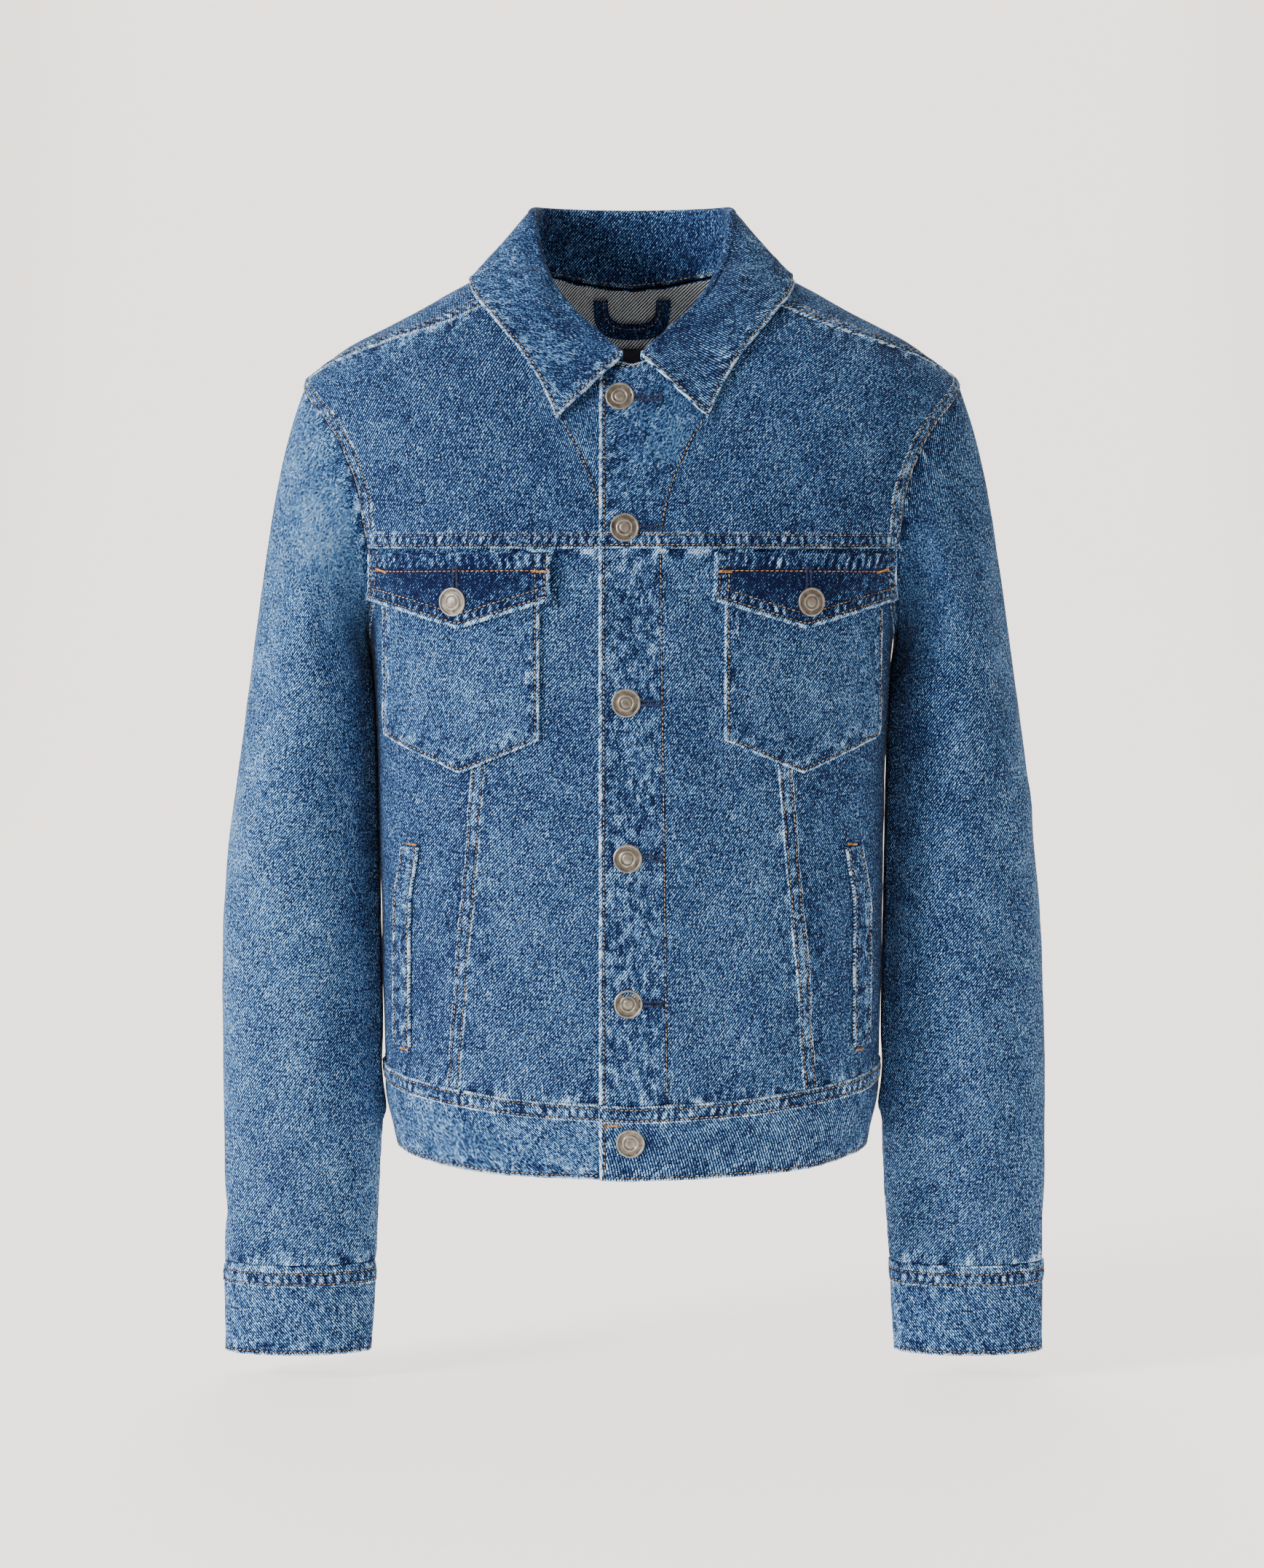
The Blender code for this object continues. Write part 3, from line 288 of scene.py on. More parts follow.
def torso_level(p):
    """Under 1 inside the torso, 1 on it and over 1 outside."""
    width, front, back, power = ring(p[..., 2])
    depth = np.where(p[..., 1] < 0, front, back)
    return (np.abs(p[..., 0]) / width) ** power + (np.abs(p[..., 1]) / depth) ** power


def torso_point(turn, z):
    turn, z = np.broadcast_arrays(np.radians(turn), np.asarray(z, float))
    width, front, back, power = ring(z)
    depth = np.where(np.cos(turn) > 0, front, back)
    reach = (np.abs(np.sin(turn)) / width) ** power + (np.abs(np.cos(turn)) / depth) ** power
    reach = reach ** (-1 / power)
    return points(reach * np.sin(turn), -reach * np.cos(turn), z)


def face_point(x, z, side="front"):
    """The torso's point in front of or behind a place given across and up."""
    x, z = np.broadcast_arrays(np.asarray(x, float), np.asarray(z, float))
    width, front, back, power = ring(z)
    rest = np.clip(1 - (np.abs(x) / width) ** power, 0, 1) ** (1 / power)
    return points(x, -front * rest if side == "front" else back * rest, z)


def torso_slope(p):
    """How fast the level rises along X, Y and Z, for each millimetre."""
    step = 0.05
    slopes = []
    for axis in range(3):
        move = np.zeros(3)
        move[axis] = step
        slopes.append((torso_level(p + move) - torso_level(p - move)) / (2 * step))
    return np.stack(slopes, axis=-1)


def torso_normal(p):
    return unit(torso_slope(p))


def torso_distance(p):
    """Millimetres outside the torso, near enough for points close to it."""
    return (torso_level(p) - 1) / np.linalg.norm(torso_slope(p), axis=-1)


def pushed_out(p):
    """Points moved away from a line inside the shoulders until they lie on the torso."""
    inside = points(0.6 * p[..., 0], 0.0, np.minimum(p[..., 2], BACK_YOKE_Z))
    low, high = np.zeros(p.shape[:-1]), np.full(p.shape[:-1], 6.0)
    for _ in range(40):
        middle = (low + high) / 2
        out = torso_level(inside + (p - inside) * middle[..., None]) > 1
        high = np.where(out, middle, high)
        low = np.where(out, low, middle)
    return inside + (p - inside) * high[..., None]


def fold_height(across, up, fold):
    """A soft ridge or trough along a straight line that fades at both ends."""
    x0, z0, x1, z1, width, height = fold
    run = np.array([x1 - x0, z1 - z0])
    length = np.hypot(*run)
    along = ((across - x0) * run[0] + (up - z0) * run[1]) / length
    off = ((across - x0) * run[1] - (up - z0) * run[0]) / length
    ends = eased(along / (0.35 * length)) * eased((length - along) / (0.35 * length))
    return height * ends * np.exp(-((off / width) ** 2))


def with_folds(height, p, folds):
    """The height with the body's folds added, each on its own face."""
    for face, here in (("front", p[..., 1] < 0), ("back", p[..., 1] > 0)):
        for fold in folds[face]:
            height = height + np.where(here, fold_height(p[..., 0], p[..., 2], fold), 0.0)
    return height


def with_sleeve_folds(height, wrapped, z, folds, turned):
    """The height with a sleeve's folds added, all turned round it by an angle."""
    for lap0, z0, lap1, z1, width, high in folds:
        line = (lap0 * ARM_DEGREE, z0, lap1 * ARM_DEGREE, z1, width, high)
        height = height + fold_height((wrapped + turned) * ARM_DEGREE, z, line)
    return height


def front_lift(p, layer):
    """How far a piece of the upper front is raised over the lower front."""
    inside = 1 - eased((p[..., 0] - PLACKET_EDGE - 3.0) / (LIFT_END - PLACKET_EDGE))
    return np.where(p[..., 1] < 0, layer * inside, 0.0)


def on_body(p, out=0.0, lift=0.0):
    """The cloth's own points for points of the torso, moved out by a distance."""
    relief = with_folds(np.zeros(p.shape[:-1]), p, BODY_FOLDS)
    return p + torso_normal(p) * np.asarray(relief + out + lift)[..., None]


# ---- curves and patches ----


def spread(dense, count):
    """count + 1 points at equal distances along a finely sampled line."""
    lengths = np.concatenate([[0.0], np.cumsum(np.linalg.norm(np.diff(dense, axis=0), axis=1))])
    at = np.linspace(0, lengths[-1], count + 1)
    return np.stack([np.interp(at, lengths, dense[:, i]) for i in range(3)], axis=1)


def surface_line(turns, heights, count):
    """A line on the torso between equal steps of turn and height."""
    return spread(torso_point(turns, heights), count)


def armhole_point(side, lap):
    """A point of the armhole loop; negative laps run over the back."""
    size = np.abs(lap)
    forward = np.sign(lap) * smooth(size, ARMHOLE, 1)
    p = torso_point(90.0 - forward, smooth(size, ARMHOLE, 2))
    return p * mirror_of(side)


def armhole_line(side, start, end, count):
    return spread(armhole_point(side, np.linspace(start, end, 160)), count)


def folded_turn(turn):
    """Any turn as 0 to 180 degrees from centre front."""
    return np.abs(half_turns(turn))


def shoulder_line(side, count):
    """From the neck to the armhole."""
    turns = np.linspace(SHOULDER_SEAM[0, 0], SHOULDER_SEAM[-1, 0], 100)
    line = torso_point(turns, smooth(turns, SHOULDER_SEAM, 1))
    tip = armhole_point("L", SEAM_LAP)
    last = pushed_out(line[-1] + (tip - line[-1]) * np.linspace(0, 1, 20)[:, None])
    line = np.concatenate([line, last[1:]])
    return spread(line * mirror_of(side), count)


def coons(bottom, top, left, right):
    """A sheet of points between four lines that share their corners."""
    u = np.linspace(0, 1, len(bottom))[None, :, None]
    v = np.linspace(0, 1, len(left))[:, None, None]
    across = (1 - v) * bottom[None] + v * top[None]
    along = (1 - u) * left[:, None] + u * right[:, None]
    low = (1 - u) * bottom[0] + u * bottom[-1]
    high = (1 - u) * top[0] + u * top[-1]
    return across + along - (1 - v) * low - v * high


def inset(grid, by=GAP / 2):
    """The grid with its border drawn in, so that neighbours that share a line stay apart."""
    out = grid.copy()
    for near, far in ((0, 1), (-1, -2)):
        out[near] += unit(grid[far] - grid[near]) * by
    drawn = out.copy()
    for near, far in ((0, 1), (-1, -2)):
        drawn[:, near] += unit(out[:, far] - out[:, near]) * by
    return drawn


# ---- sleeves ----


def sleeve_ring(side, lap, z):
    """A point of the sleeve below its cap."""
    table = SLEEVE[side]
    outer, inner, depth, middle = [smooth(z, table, column) for column in (1, 2, 3, 4)]
    lap = np.radians(lap)
    x = (outer + inner) / 2 + (outer - inner) / 2 * np.cos(lap)
    y = middle - depth * np.sin(lap)
    return points(x * sign_of(side), y, z)


def sleeve_cap(side, lap, t):
    """A point between the armhole, t 0, and the first full ring, t 1."""
    sign = sign_of(side)
    wrapped = half_turns(lap)
    start = armhole_point(side, wrapped)
    size = np.abs(wrapped)
    out, down, reach, gap = [smooth(size, SLEEVE_START, column) for column in (1, 2, 3, 4)]
    leave = unit(points(sign * out, 0.0, -down))
    under = eased((size - 120.0) / 60.0)
    inward = points(start[..., 0], 0.0, -152.0) - start
    facing = torso_normal(start)
    inward = unit(inward - facing * np.sum(inward * facing, axis=-1, keepdims=True))
    start = start + inward * gap[..., None] + points(sign * 0.6 * under, 0.0, 0.5 * under)
    end = sleeve_ring(side, lap, CAP_END)
    below = sleeve_ring(side, lap, CAP_END - 10.0)
    arrive = unit(end - below)
    pull = np.linalg.norm(end - start, axis=-1) * ARRIVE_PULL
    first = start + leave * reach[..., None]
    last = end + arrive * pull[..., None]
    t = np.asarray(t, float)[..., None]
    return (1 - t) ** 3 * start + 3 * (1 - t) ** 2 * t * first + 3 * (1 - t) * t**2 * last + t**3 * end


def sleeve_relief(side, lap, z):
    wrapped = half_turns(lap)
    turned = LEFT_FOLDS_TURN if side == "L" else 0.0
    total = with_sleeve_folds(np.zeros(np.broadcast(lap, z).shape), wrapped, z, SLEEVE_FOLDS, turned)
    return total * eased((165.0 - np.abs(wrapped)) / 40.0)


def waist_z(turn):
    return smooth(np.abs(turn), WAIST_TOP, 1)


def front_seam_x(z):
    """Across from centre front to the slanted seam between the front panels."""
    t = (z - YOKE_Z) / (waist_z(45.0) - YOKE_Z)
    return FRONT_SEAM_TOP + (FRONT_SEAM_BOTTOM - FRONT_SEAM_TOP) * t


def back_seam_x(z):
    t = (z - BACK_YOKE_Z) / (waist_z(150.0) - BACK_YOKE_Z)
    return BACK_SEAM_TOP + (BACK_SEAM_BOTTOM - BACK_SEAM_TOP) * t


def line_to_waist(x_of_z, top, face, count):
    """A line down a panel to the waist seam, given across as a function of height."""
    z = np.linspace(top, -560.0, 300)
    line = face_point(x_of_z(z), z, face)
    turn = np.degrees(np.arctan2(np.abs(line[:, 0]), -line[:, 1]))
    keep = z >= waist_z(turn)
    return spread(line[keep], count)


def waist_line(start, end, count):
    turns = np.linspace(start, end, 200)
    return surface_line(turns, waist_z(turns), count)


def turn_of(p):
    return math.degrees(math.atan2(abs(p[0]), -p[1]))


def waist_row(x):
    """Heights of the waist seam below places given across the front."""
    z = np.full(np.shape(x), -540.0)
    for _ in range(6):
        p = face_point(x, z)
        z = waist_z(np.degrees(np.arctan2(np.abs(p[..., 0]), -p[..., 1])))
    return z


def onto_ring(p):
    """Points moved straight out or in to the torso at their own height."""
    power = ring(p[..., 2])[3]
    scale = torso_level(p) ** (-1 / power)
    return p * np.stack([scale, scale, np.ones_like(scale)], axis=-1)


# ---- the finished cloth ----

STEP = 2.7  # between a panel's points
FINE_STEP = 1.4  # between the points along a felled or turned edge
TEETH = 5.9  # from one worn tooth between two rows to the next
SEAMED = 8.5, 6.5, 0.26  # puckers beside a seam: pitch, reach across, height
GATHERED = 17.0, 13.0, 0.75  # the heavier ones of the closing, the collar's edge and a pocket's foot
SLACK = 11.0, 9.0, 0.45
ALL_ROUND = {"first_row": SEAMED, "last_row": SLACK, "first_column": SLACK, "last_column": SLACK}
BY_THE_CLOSING = {"first_row": SEAMED, "last_row": SLACK, "last_column": SLACK, "first_column": GATHERED}

# ---- small creases of the body, as BODY_FOLDS ----
CREASES = {
    "front": (
        (-7.0, -184.0, 14.0, -226.0, 3.2, 1.1), (2.0, -182.0, 30.0, -222.0, 3.4, 1.0),
        (0.0, -196.0, 20.0, -250.0, 3.0, -0.8), (-8.0, -232.0, 12.0, -262.0, 3.4, 1.0),
        (-8.0, -318.0, 10.0, -288.0, 3.2, 1.0), (-4.0, -286.0, 14.0, -334.0, 3.4, 0.9),
        (-12.0, -352.0, 10.0, -372.0, 3.6, 1.0), (0.0, -392.0, 18.0, -424.0, 3.4, -0.9),
        (-10.0, -388.0, 12.0, -436.0, 3.2, 1.0), (-10.0, -452.0, 12.0, -470.0, 3.4, -0.9),
        (-6.0, -486.0, 16.0, -524.0, 3.2, 1.0), (-10.0, -506.0, 12.0, -532.0, 3.4, 1.0),
        (-6.0, -90.0, 24.0, -140.0, 3.4, 1.1), (0.0, -96.0, 34.0, -128.0, 3.2, -0.8),
        (2.0, -112.0, 20.0, -156.0, 3.2, 0.9), (158.0, -196.0, 120.0, -150.0, 7.0, 0.8),
        (-158.0, -196.0, -120.0, -150.0, 7.0, 0.8), (-128.0, -340.0, -152.0, -392.0, 6.0, 1.2),
        (130.0, -344.0, 152.0, -398.0, 6.0, 1.2), (-124.0, -470.0, -106.0, -520.0, 6.0, 1.0),
        (126.0, -476.0, 104.0, -524.0, 6.0, -1.0), (30.0, -516.0, 84.0, -536.0, 5.0, 0.9),
        (-34.0, -514.0, -90.0, -534.0, 5.0, 0.9), (-60.0, -340.0, -44.0, -420.0, 9.0, 0.7),
        (62.0, -350.0, 48.0, -440.0, 9.0, -0.7),
    ),
    "back": (
        (-150.0, -178.0, -96.0, -214.0, 8.0, 1.3), (152.0, -182.0, 92.0, -210.0, 8.0, 1.3),
        (-40.0, -160.0, -22.0, -230.0, 7.0, -0.9), (44.0, -158.0, 30.0, -224.0, 7.0, 0.9),
        (-92.0, -500.0, -30.0, -520.0, 6.0, 1.0), (88.0, -494.0, 36.0, -522.0, 6.0, -1.0),
        (-20.0, -400.0, 60.0, -440.0, 10.0, -1.2), (10.0, -340.0, -70.0, -392.0, 10.0, 1.2),
        (-60.0, -60.0, -96.0, -120.0, 9.0, 0.8), (64.0, -66.0, 90.0, -128.0, 9.0, -0.8),
    ),
}
# ---- small creases of a sleeve, as SLEEVE_FOLDS ----
SLEEVE_CREASES = (
    (70.0, -170.0, 96.0, -262.0, 5.0, 1.1), (96.0, -200.0, 120.0, -280.0, 5.0, -1.0),
    (120.0, -330.0, 84.0, -372.0, 6.0, 1.2), (112.0, -376.0, 70.0, -402.0, 5.0, -1.0),
    (64.0, -430.0, 110.0, -452.0, 5.5, 1.3), (40.0, -452.0, 84.0, -486.0, 6.0, -1.1),
    (122.0, -500.0, 90.0, -540.0, 6.0, 1.1), (58.0, -580.0, 88.0, -640.0, 6.0, 0.9),
    (110.0, -630.0, 84.0, -656.0, 5.0, -0.9), (38.0, -640.0, 54.0, -662.0, 4.0, 0.9),
    (-60.0, -400.0, -14.0, -424.0, 6.0, 1.4), (-88.0, -448.0, -40.0, -470.0, 6.0, -1.4),
    (-70.0, -500.0, -30.0, -560.0, 8.0, 1.1), (-40.0, -200.0, -70.0, -300.0, 9.0, 1.0),
)


def uneven(a, b, seed):
    """Smooth noise from -1 to 1 with features one unit long, the same on each run."""
    table = np.random.default_rng(seed).uniform(-1, 1, (97, 97))
    a, b = np.broadcast_arrays(a, b)
    i, j = np.floor(a).astype(int), np.floor(b).astype(int)
    s, t = eased(a - i), eased(b - j)
    low = table[i % 97, j % 97] * (1 - s) + table[(i + 1) % 97, j % 97] * s
    high = table[i % 97, (j + 1) % 97] * (1 - s) + table[(i + 1) % 97, (j + 1) % 97] * s
    return low * (1 - t) + high * t


def waves(a, b):
    """The unevenness of cloth that has been washed and worn, in mm, over two distances along it."""
    return 0.55 * uneven(a / 31.0 + 0.2 * b / 31.0, b / 47.0, 3) + 0.2 * uneven(a / 11.0, b / 15.0, 4)


def on_cloth(p, out=0.0, lift=0.0):
    """The finished cloth's points for points of the torso."""
    small = with_folds(waves(p[..., 0] + p[..., 1], p[..., 2]), p, CREASES)
    return on_body(p, small + out, lift)


def lengths(grid, axis):
    """Distance along the grid's rows or columns from its first border."""
    steps = np.linalg.norm(np.diff(grid, axis=axis), axis=2)
    start = np.zeros_like(steps[:1] if axis == 0 else steps[:, :1])
    return np.concatenate([start, np.cumsum(steps, axis=axis)], axis=axis)


def bordered(grid):
    """The grid with two more lines beside each border, so that a wall's edge can roll."""
    for _ in range(2):
        first = [grid[0] + (grid[1] - grid[0]) * t for t in (0.25, 0.6)]
        last = [grid[-1] + (grid[-2] - grid[-1]) * t for t in (0.6, 0.25)]
        grid = np.concatenate([grid[:1], np.stack(first), grid[1:-1], np.stack(last), grid[-1:]])
        grid = grid.swapaxes(0, 1)
    return grid


def panel(name, grid, flipped, thickness=WALL, puckered=None, slot="denim", mirrored_weave=False,
          level="first_row"):
    """One cut piece. Its borders are named for its grid: first and last row, first and last column.

    puckered gives the pitch, reach and height of the puckers beside each border that a seam gathers. The
    cloth's own map has millimetres to the right and up as one looks at its outer face, from its level row.
    """
    grid = bordered(grid)
    down, across = lengths(grid, 0), lengths(grid, 1)
    reach = {
        "first_row": down, "last_row": down[-1] - down,
        "first_column": across, "last_column": across[:, -1:] - across,
    }
    normal = unit(np.cross(np.gradient(grid, axis=1), np.gradient(grid, axis=0))) * (-1 if flipped else 1)
    near, pucker, lift = np.zeros(grid.shape[:2]), np.zeros(grid.shape[:2]), np.zeros(grid.shape[:2])
    for number, (border, (pitch, deep, height)) in enumerate((puckered or {}).items()):
        closeness = np.exp(-((reach[border] / deep) ** 1.5))
        run = across if "row" in border else down
        seed = sum(map(ord, name)) + number
        bars = 1.5 * uneven((run + 0.45 * reach[border]) / (pitch / 2), reach[border] / (1.5 * deep), seed)
        near = np.maximum(near, closeness)
        pucker += closeness * bars
        lift += closeness * bars * height
    rises = 1 if grid[-1, :, 2].mean() > grid[0, :, 2].mean() else -1
    right = rises * (-1 if flipped else 1) * (-1 if mirrored_weave else 1)
    middle = across[:, across.shape[1] // 2][:, None]
    up = down if level == "first_row" else down - down[-1]
    uv = np.stack([(across - middle) * right, up * rises], axis=2)
    return {
        "name": name, "grid": grid + normal * lift[..., None], "normal": normal, "flipped": flipped,
        "thickness": thickness, "reach": reach, "near": near, "pucker": pucker, "uv": uv, "slot": slot,
        "flat": (across[:, -1].max(), down[-1].max()), "fade": np.zeros(grid.shape[:2]), "profiles": {},
        "tone": 0.0, "with": [],
    }


# ---- lines on a panel: each point has its place, its normal and its place on the map ----


def even(trace, count, start=0.0, end=0.0):
    """count + 1 points at equal distances on the line, without a length of it at each end."""
    run = np.concatenate([[0.0], np.cumsum(np.linalg.norm(np.diff(trace[:, :3], axis=0), axis=1))])
    at = np.linspace(start, run[-1] - end, count + 1)
    trace = np.stack([np.interp(at, run, column) for column in trace.T], axis=1)
    trace[:, 3:6] = unit(trace[:, 3:6])
    return trace


def length_of(trace):
    return np.linalg.norm(np.diff(trace[:, :3], axis=0), axis=1).sum()


def beside(cloth, border, distance):
    """The line on the panel's outer face at a distance in from one border."""
    outer = cloth["grid"] + cloth["normal"] * cloth["thickness"] / 2
    known = np.concatenate([outer, cloth["normal"], cloth["uv"]], axis=2)
    reach = cloth["reach"][border]
    if "row" in border:
        known, reach = known.swapaxes(0, 1), reach.T
    if "last" in border:
        known, reach = known[:, ::-1], reach[:, ::-1]
    inside = max(distance, 0.0)
    trace = np.array([[np.interp(inside, r, column) for column in row.T] for r, row in zip(reach, known)])
    if distance < 0:
        trace[:, :3] += unit(known[:, 0, :3] - known[:, 1, :3]) * -distance
        trace[:, 6:] += unit(known[:, 0, 6:] - known[:, 1, 6:]) * -distance
    return trace


def laid(cloth, x, z):
    """The line on the panel's outer face over places given across and up."""
    outer = (cloth["grid"] + cloth["normal"] * cloth["thickness"] / 2).reshape(-1, 3)
    normal, uv = cloth["normal"].reshape(-1, 3), cloth["uv"].reshape(-1, 2)
    trace = []
    for across, up in zip(*np.broadcast_arrays(*np.atleast_1d(x, z))):
        near = np.argmin((outer[:, 0] - across) ** 2 + (outer[:, 2] - up) ** 2)
        dx, dz = across - outer[near, 0], up - outer[near, 2]
        n = normal[near]
        place = outer[near] + [dx, -(n[0] * dx + n[2] * dz) / n[1], dz]
        trace.append(np.concatenate([place, n, uv[near] + [-dx * np.sign(n[1]), dz]]))
    return np.array(trace)


# ---- the cut pieces at a fine step ----


BACK_STEP = 3.4  # wider where the folds are broad
SLEEVE_STEP = 2.9


def steps_over(length, step=STEP):
    """How many steps a border of about this length is cut into."""
    return max(4, int(round(length / step)))


def side_grid(seam, lap, top, arm_length, width, step=STEP):
    """The left panel from a slanted seam to the side seam and to the armhole, which starts at the given lap."""
    side_seam = torso_point(90.0, np.linspace(ARMHOLE[-1, 2], waist_z(90.0), 120))
    arm = armhole_point("L", np.linspace(lap, math.copysign(180.0, lap), 120))
    arm = spread(arm, steps_over(arm_length, step))
    outer = np.concatenate([arm, spread(side_seam, steps_over(290.0, step))[1:]])
    across = steps_over(width, step)
    waist = waist_line(turn_of(seam[-1]), 90.0, across)
    chest = surface_line(np.linspace(turn_of(seam[0]), turn_of(outer[0]), 200), top, across)
    inner = spread(seam, len(outer) - 1)
    waist[0], waist[-1], chest[0], chest[-1] = inner[-1], outer[-1], inner[0], outer[0]
    return inset(onto_ring(coons(waist, chest, inner[::-1], outer[::-1])))


def front_panels(side):
    """The yoke, centre and side panels of one front. Rows run up, columns run out from the closing."""
    mirror = mirror_of(side)
    flipped = side == "R"
    raise_by = FRONT_LAYER if side == "L" else 0.0

    def shaped(grid):
        return on_cloth(grid * mirror, lift=front_lift(grid * mirror, raise_by) if raise_by else 0.0)

    high = steps_over(125.0)
    edge = face_point(-PLACKET_EDGE, np.linspace(YOKE_Z, smooth(9.0, NECK, 1), 200))
    neck_turns = np.linspace(-turn_of(edge[-1]), SHOULDER_SEAM[0, 0], 160)
    neck = surface_line(neck_turns, smooth(np.abs(neck_turns), NECK, 1), steps_over(84.0))
    edge = spread(face_point(-PLACKET_EDGE, np.linspace(YOKE_Z, neck[0][2], 200)), high)
    shoulder = shoulder_line("L", steps_over(150.0))
    top = np.concatenate([neck, shoulder[1:]])
    arm = armhole_line("L", YOKE_LAP, SEAM_LAP, high)
    chest = surface_line(np.linspace(-turn_of(edge[0]), turn_of(arm[0]), 300), YOKE_Z, len(top) - 1)
    edge[-1], arm[-1], chest[0], chest[-1] = top[0], top[-1], edge[0], arm[0]
    yoke = inset(pushed_out(coons(chest, top, edge, arm)), YOKE_INSET)

    rows = steps_over(362.0)
    seam = line_to_waist(front_seam_x, YOKE_Z, "front", rows)
    closing = line_to_waist(lambda z: -PLACKET_EDGE + 0 * z, YOKE_Z, "front", rows)
    u = np.linspace(0, 1, steps_over(130.0) + 1)[None, :]
    x = closing[:, 0][:, None] * (1 - u) + seam[:, 0][:, None] * u
    z = closing[:, 2][:, None] * (1 - u) + seam[:, 2][:, None] * u
    z[-1] = waist_row(x[-1])
    centre = inset(face_point(x, z))[::-1]

    beside_arm = side_grid(seam, YOKE_LAP, YOKE_Z, 66.0, 100.0)
    return {
        "yoke": panel(f"front_yoke_{side}", shaped(yoke), flipped, puckered=BY_THE_CLOSING),
        "centre": panel(f"front_centre_{side}", shaped(centre), flipped, puckered=BY_THE_CLOSING),
        "side": panel(f"front_side_{side}", shaped(beside_arm), flipped, puckered={
            "first_row": SEAMED, "last_column": SLACK, "first_column": SLACK}),
    }


def back_panels():
    """The yoke over both shoulders, the centre and the sides. Rows run up."""
    high = steps_over(118.0, BACK_STEP)
    left = armhole_line("R", BACK_LAP, SEAM_LAP, high)
    right = armhole_line("L", BACK_LAP, SEAM_LAP, high)
    shoulder = {side: shoulder_line(side, steps_over(150.0, BACK_STEP)) for side in "RL"}
    start = SHOULDER_SEAM[0, 0]
    turns = np.linspace(-start, start - 360.0, 400)
    neck = surface_line(turns, smooth(folded_turn(turns), NECK, 1), steps_over(210.0, BACK_STEP))
    top = np.concatenate([shoulder["R"][::-1], neck[1:-1], shoulder["L"]])
    left[-1], right[-1] = top[0], top[-1]
    first = -turn_of(left[0])
    bottom = surface_line(np.linspace(first, -360.0 - first, 400), BACK_YOKE_Z, len(top) - 1)
    bottom[0], bottom[-1] = left[0], right[0]
    yoke = inset(pushed_out(coons(bottom, top, left, right)), YOKE_INSET)
    made = {"yoke": panel("back_yoke", on_cloth(yoke), True, puckered=ALL_ROUND)}

    rows = steps_over(382.0, BACK_STEP)
    seam = line_to_waist(back_seam_x, BACK_YOKE_Z, "back", rows)
    u = np.linspace(-1, 1, steps_over(220.0, BACK_STEP) + 1)[None, :]
    x = seam[:, 0][:, None] * u
    z = seam[:, 2][:, None] + 0 * u
    z[-1] = smooth(180.0 - np.degrees(np.arctan2(np.abs(x[-1]), 110.0)), WAIST_TOP, 1)
    centre = inset(face_point(x, z, "back"))[::-1]
    made["centre"] = panel("back_centre", on_cloth(centre), True, puckered=ALL_ROUND)

    beside_arm = side_grid(seam, BACK_LAP, BACK_YOKE_Z, 90.0, 110.0, BACK_STEP)
    for side in "RL":
        made[side] = panel(f"back_side_{side}", on_cloth(beside_arm * mirror_of(side)), side == "L",
                           puckered=ALL_ROUND)
    return made


RESTS_AT = 2.75  # from the body's own form to the middle of the wall of the sleeve that hangs by it
LEANS = 3.8  # how far a sleeve's inner side reaches out for the body
PROUD = 1.7  # what a felled seam stands out by, with its stitches
PROUD_AT = ((-236.0, 15.0), (-534.0, 17.0))  # the height of such a seam, and how far around it


def fine_sleeve(side, start, end, columns):
    """Rows from the armhole to the cuff seam, with the small creases."""
    lap = np.linspace(start, end, columns + 1)[None, :]
    beside_seam, rest = np.linspace(0, 0.1, 5), np.linspace(0.1, 1.0, steps_over(135.0, SLEEVE_STEP))
    t = np.concatenate([beside_seam[:-1], rest])[:, None]
    z = np.linspace(CAP_END, CUFF_TOP, steps_over(380.0, SLEEVE_STEP) + 1)[1:, None]
    grid = np.concatenate([
        sleeve_cap(side, lap + 0 * t, t + 0 * lap), sleeve_ring(side, lap + 0 * z, z + 0 * lap)
    ])
    middle = np.array([sign_of(side), 0, 0]) * ARM_MIDDLE
    outward = unit((grid - middle) * np.array([1, 1, 0]))
    height = grid[..., 2]
    relief = sleeve_relief(side, lap + 0 * height, height)
    wrapped = half_turns(lap)
    turned, shift = (LEFT_CREASES_TURN, LEFT_WAVES_SHIFT) if side == "L" else (0.0, 0.0)
    small = waves(wrapped * ARM_DEGREE + shift, height)
    small = with_sleeve_folds(small, wrapped, height, SLEEVE_CREASES, turned)
    down = np.arange(len(grid))[:, None] / 8.0
    small = small * eased(down) * eased((CUFF_TOP + 22.0 - height) / -18.0)
    return leaned(side, grid + outward * (relief + small)[..., None])


def leaned(side, grid):
    """The inner side of the sleeve hangs against the body, just clear of it."""
    sign = sign_of(side)
    clear = torso_distance(grid * mirror_of(side)) - RESTS_AT
    for height, around in PROUD_AT:
        clear = clear - PROUD * np.exp(-(((grid[..., 2] - height) / around) ** 2))
    below = eased((-212.0 - grid[..., 2]) / 22.0) * eased((grid[..., 2] + 600.0) / 40.0)
    within = eased((LEANS - clear) / LEANS + 0.6) * (grid[..., 0] * sign < ARM_MIDDLE)
    return grid - points(sign * np.clip(clear, 0.0, LEANS) * below * within, 0.0, 0.0)


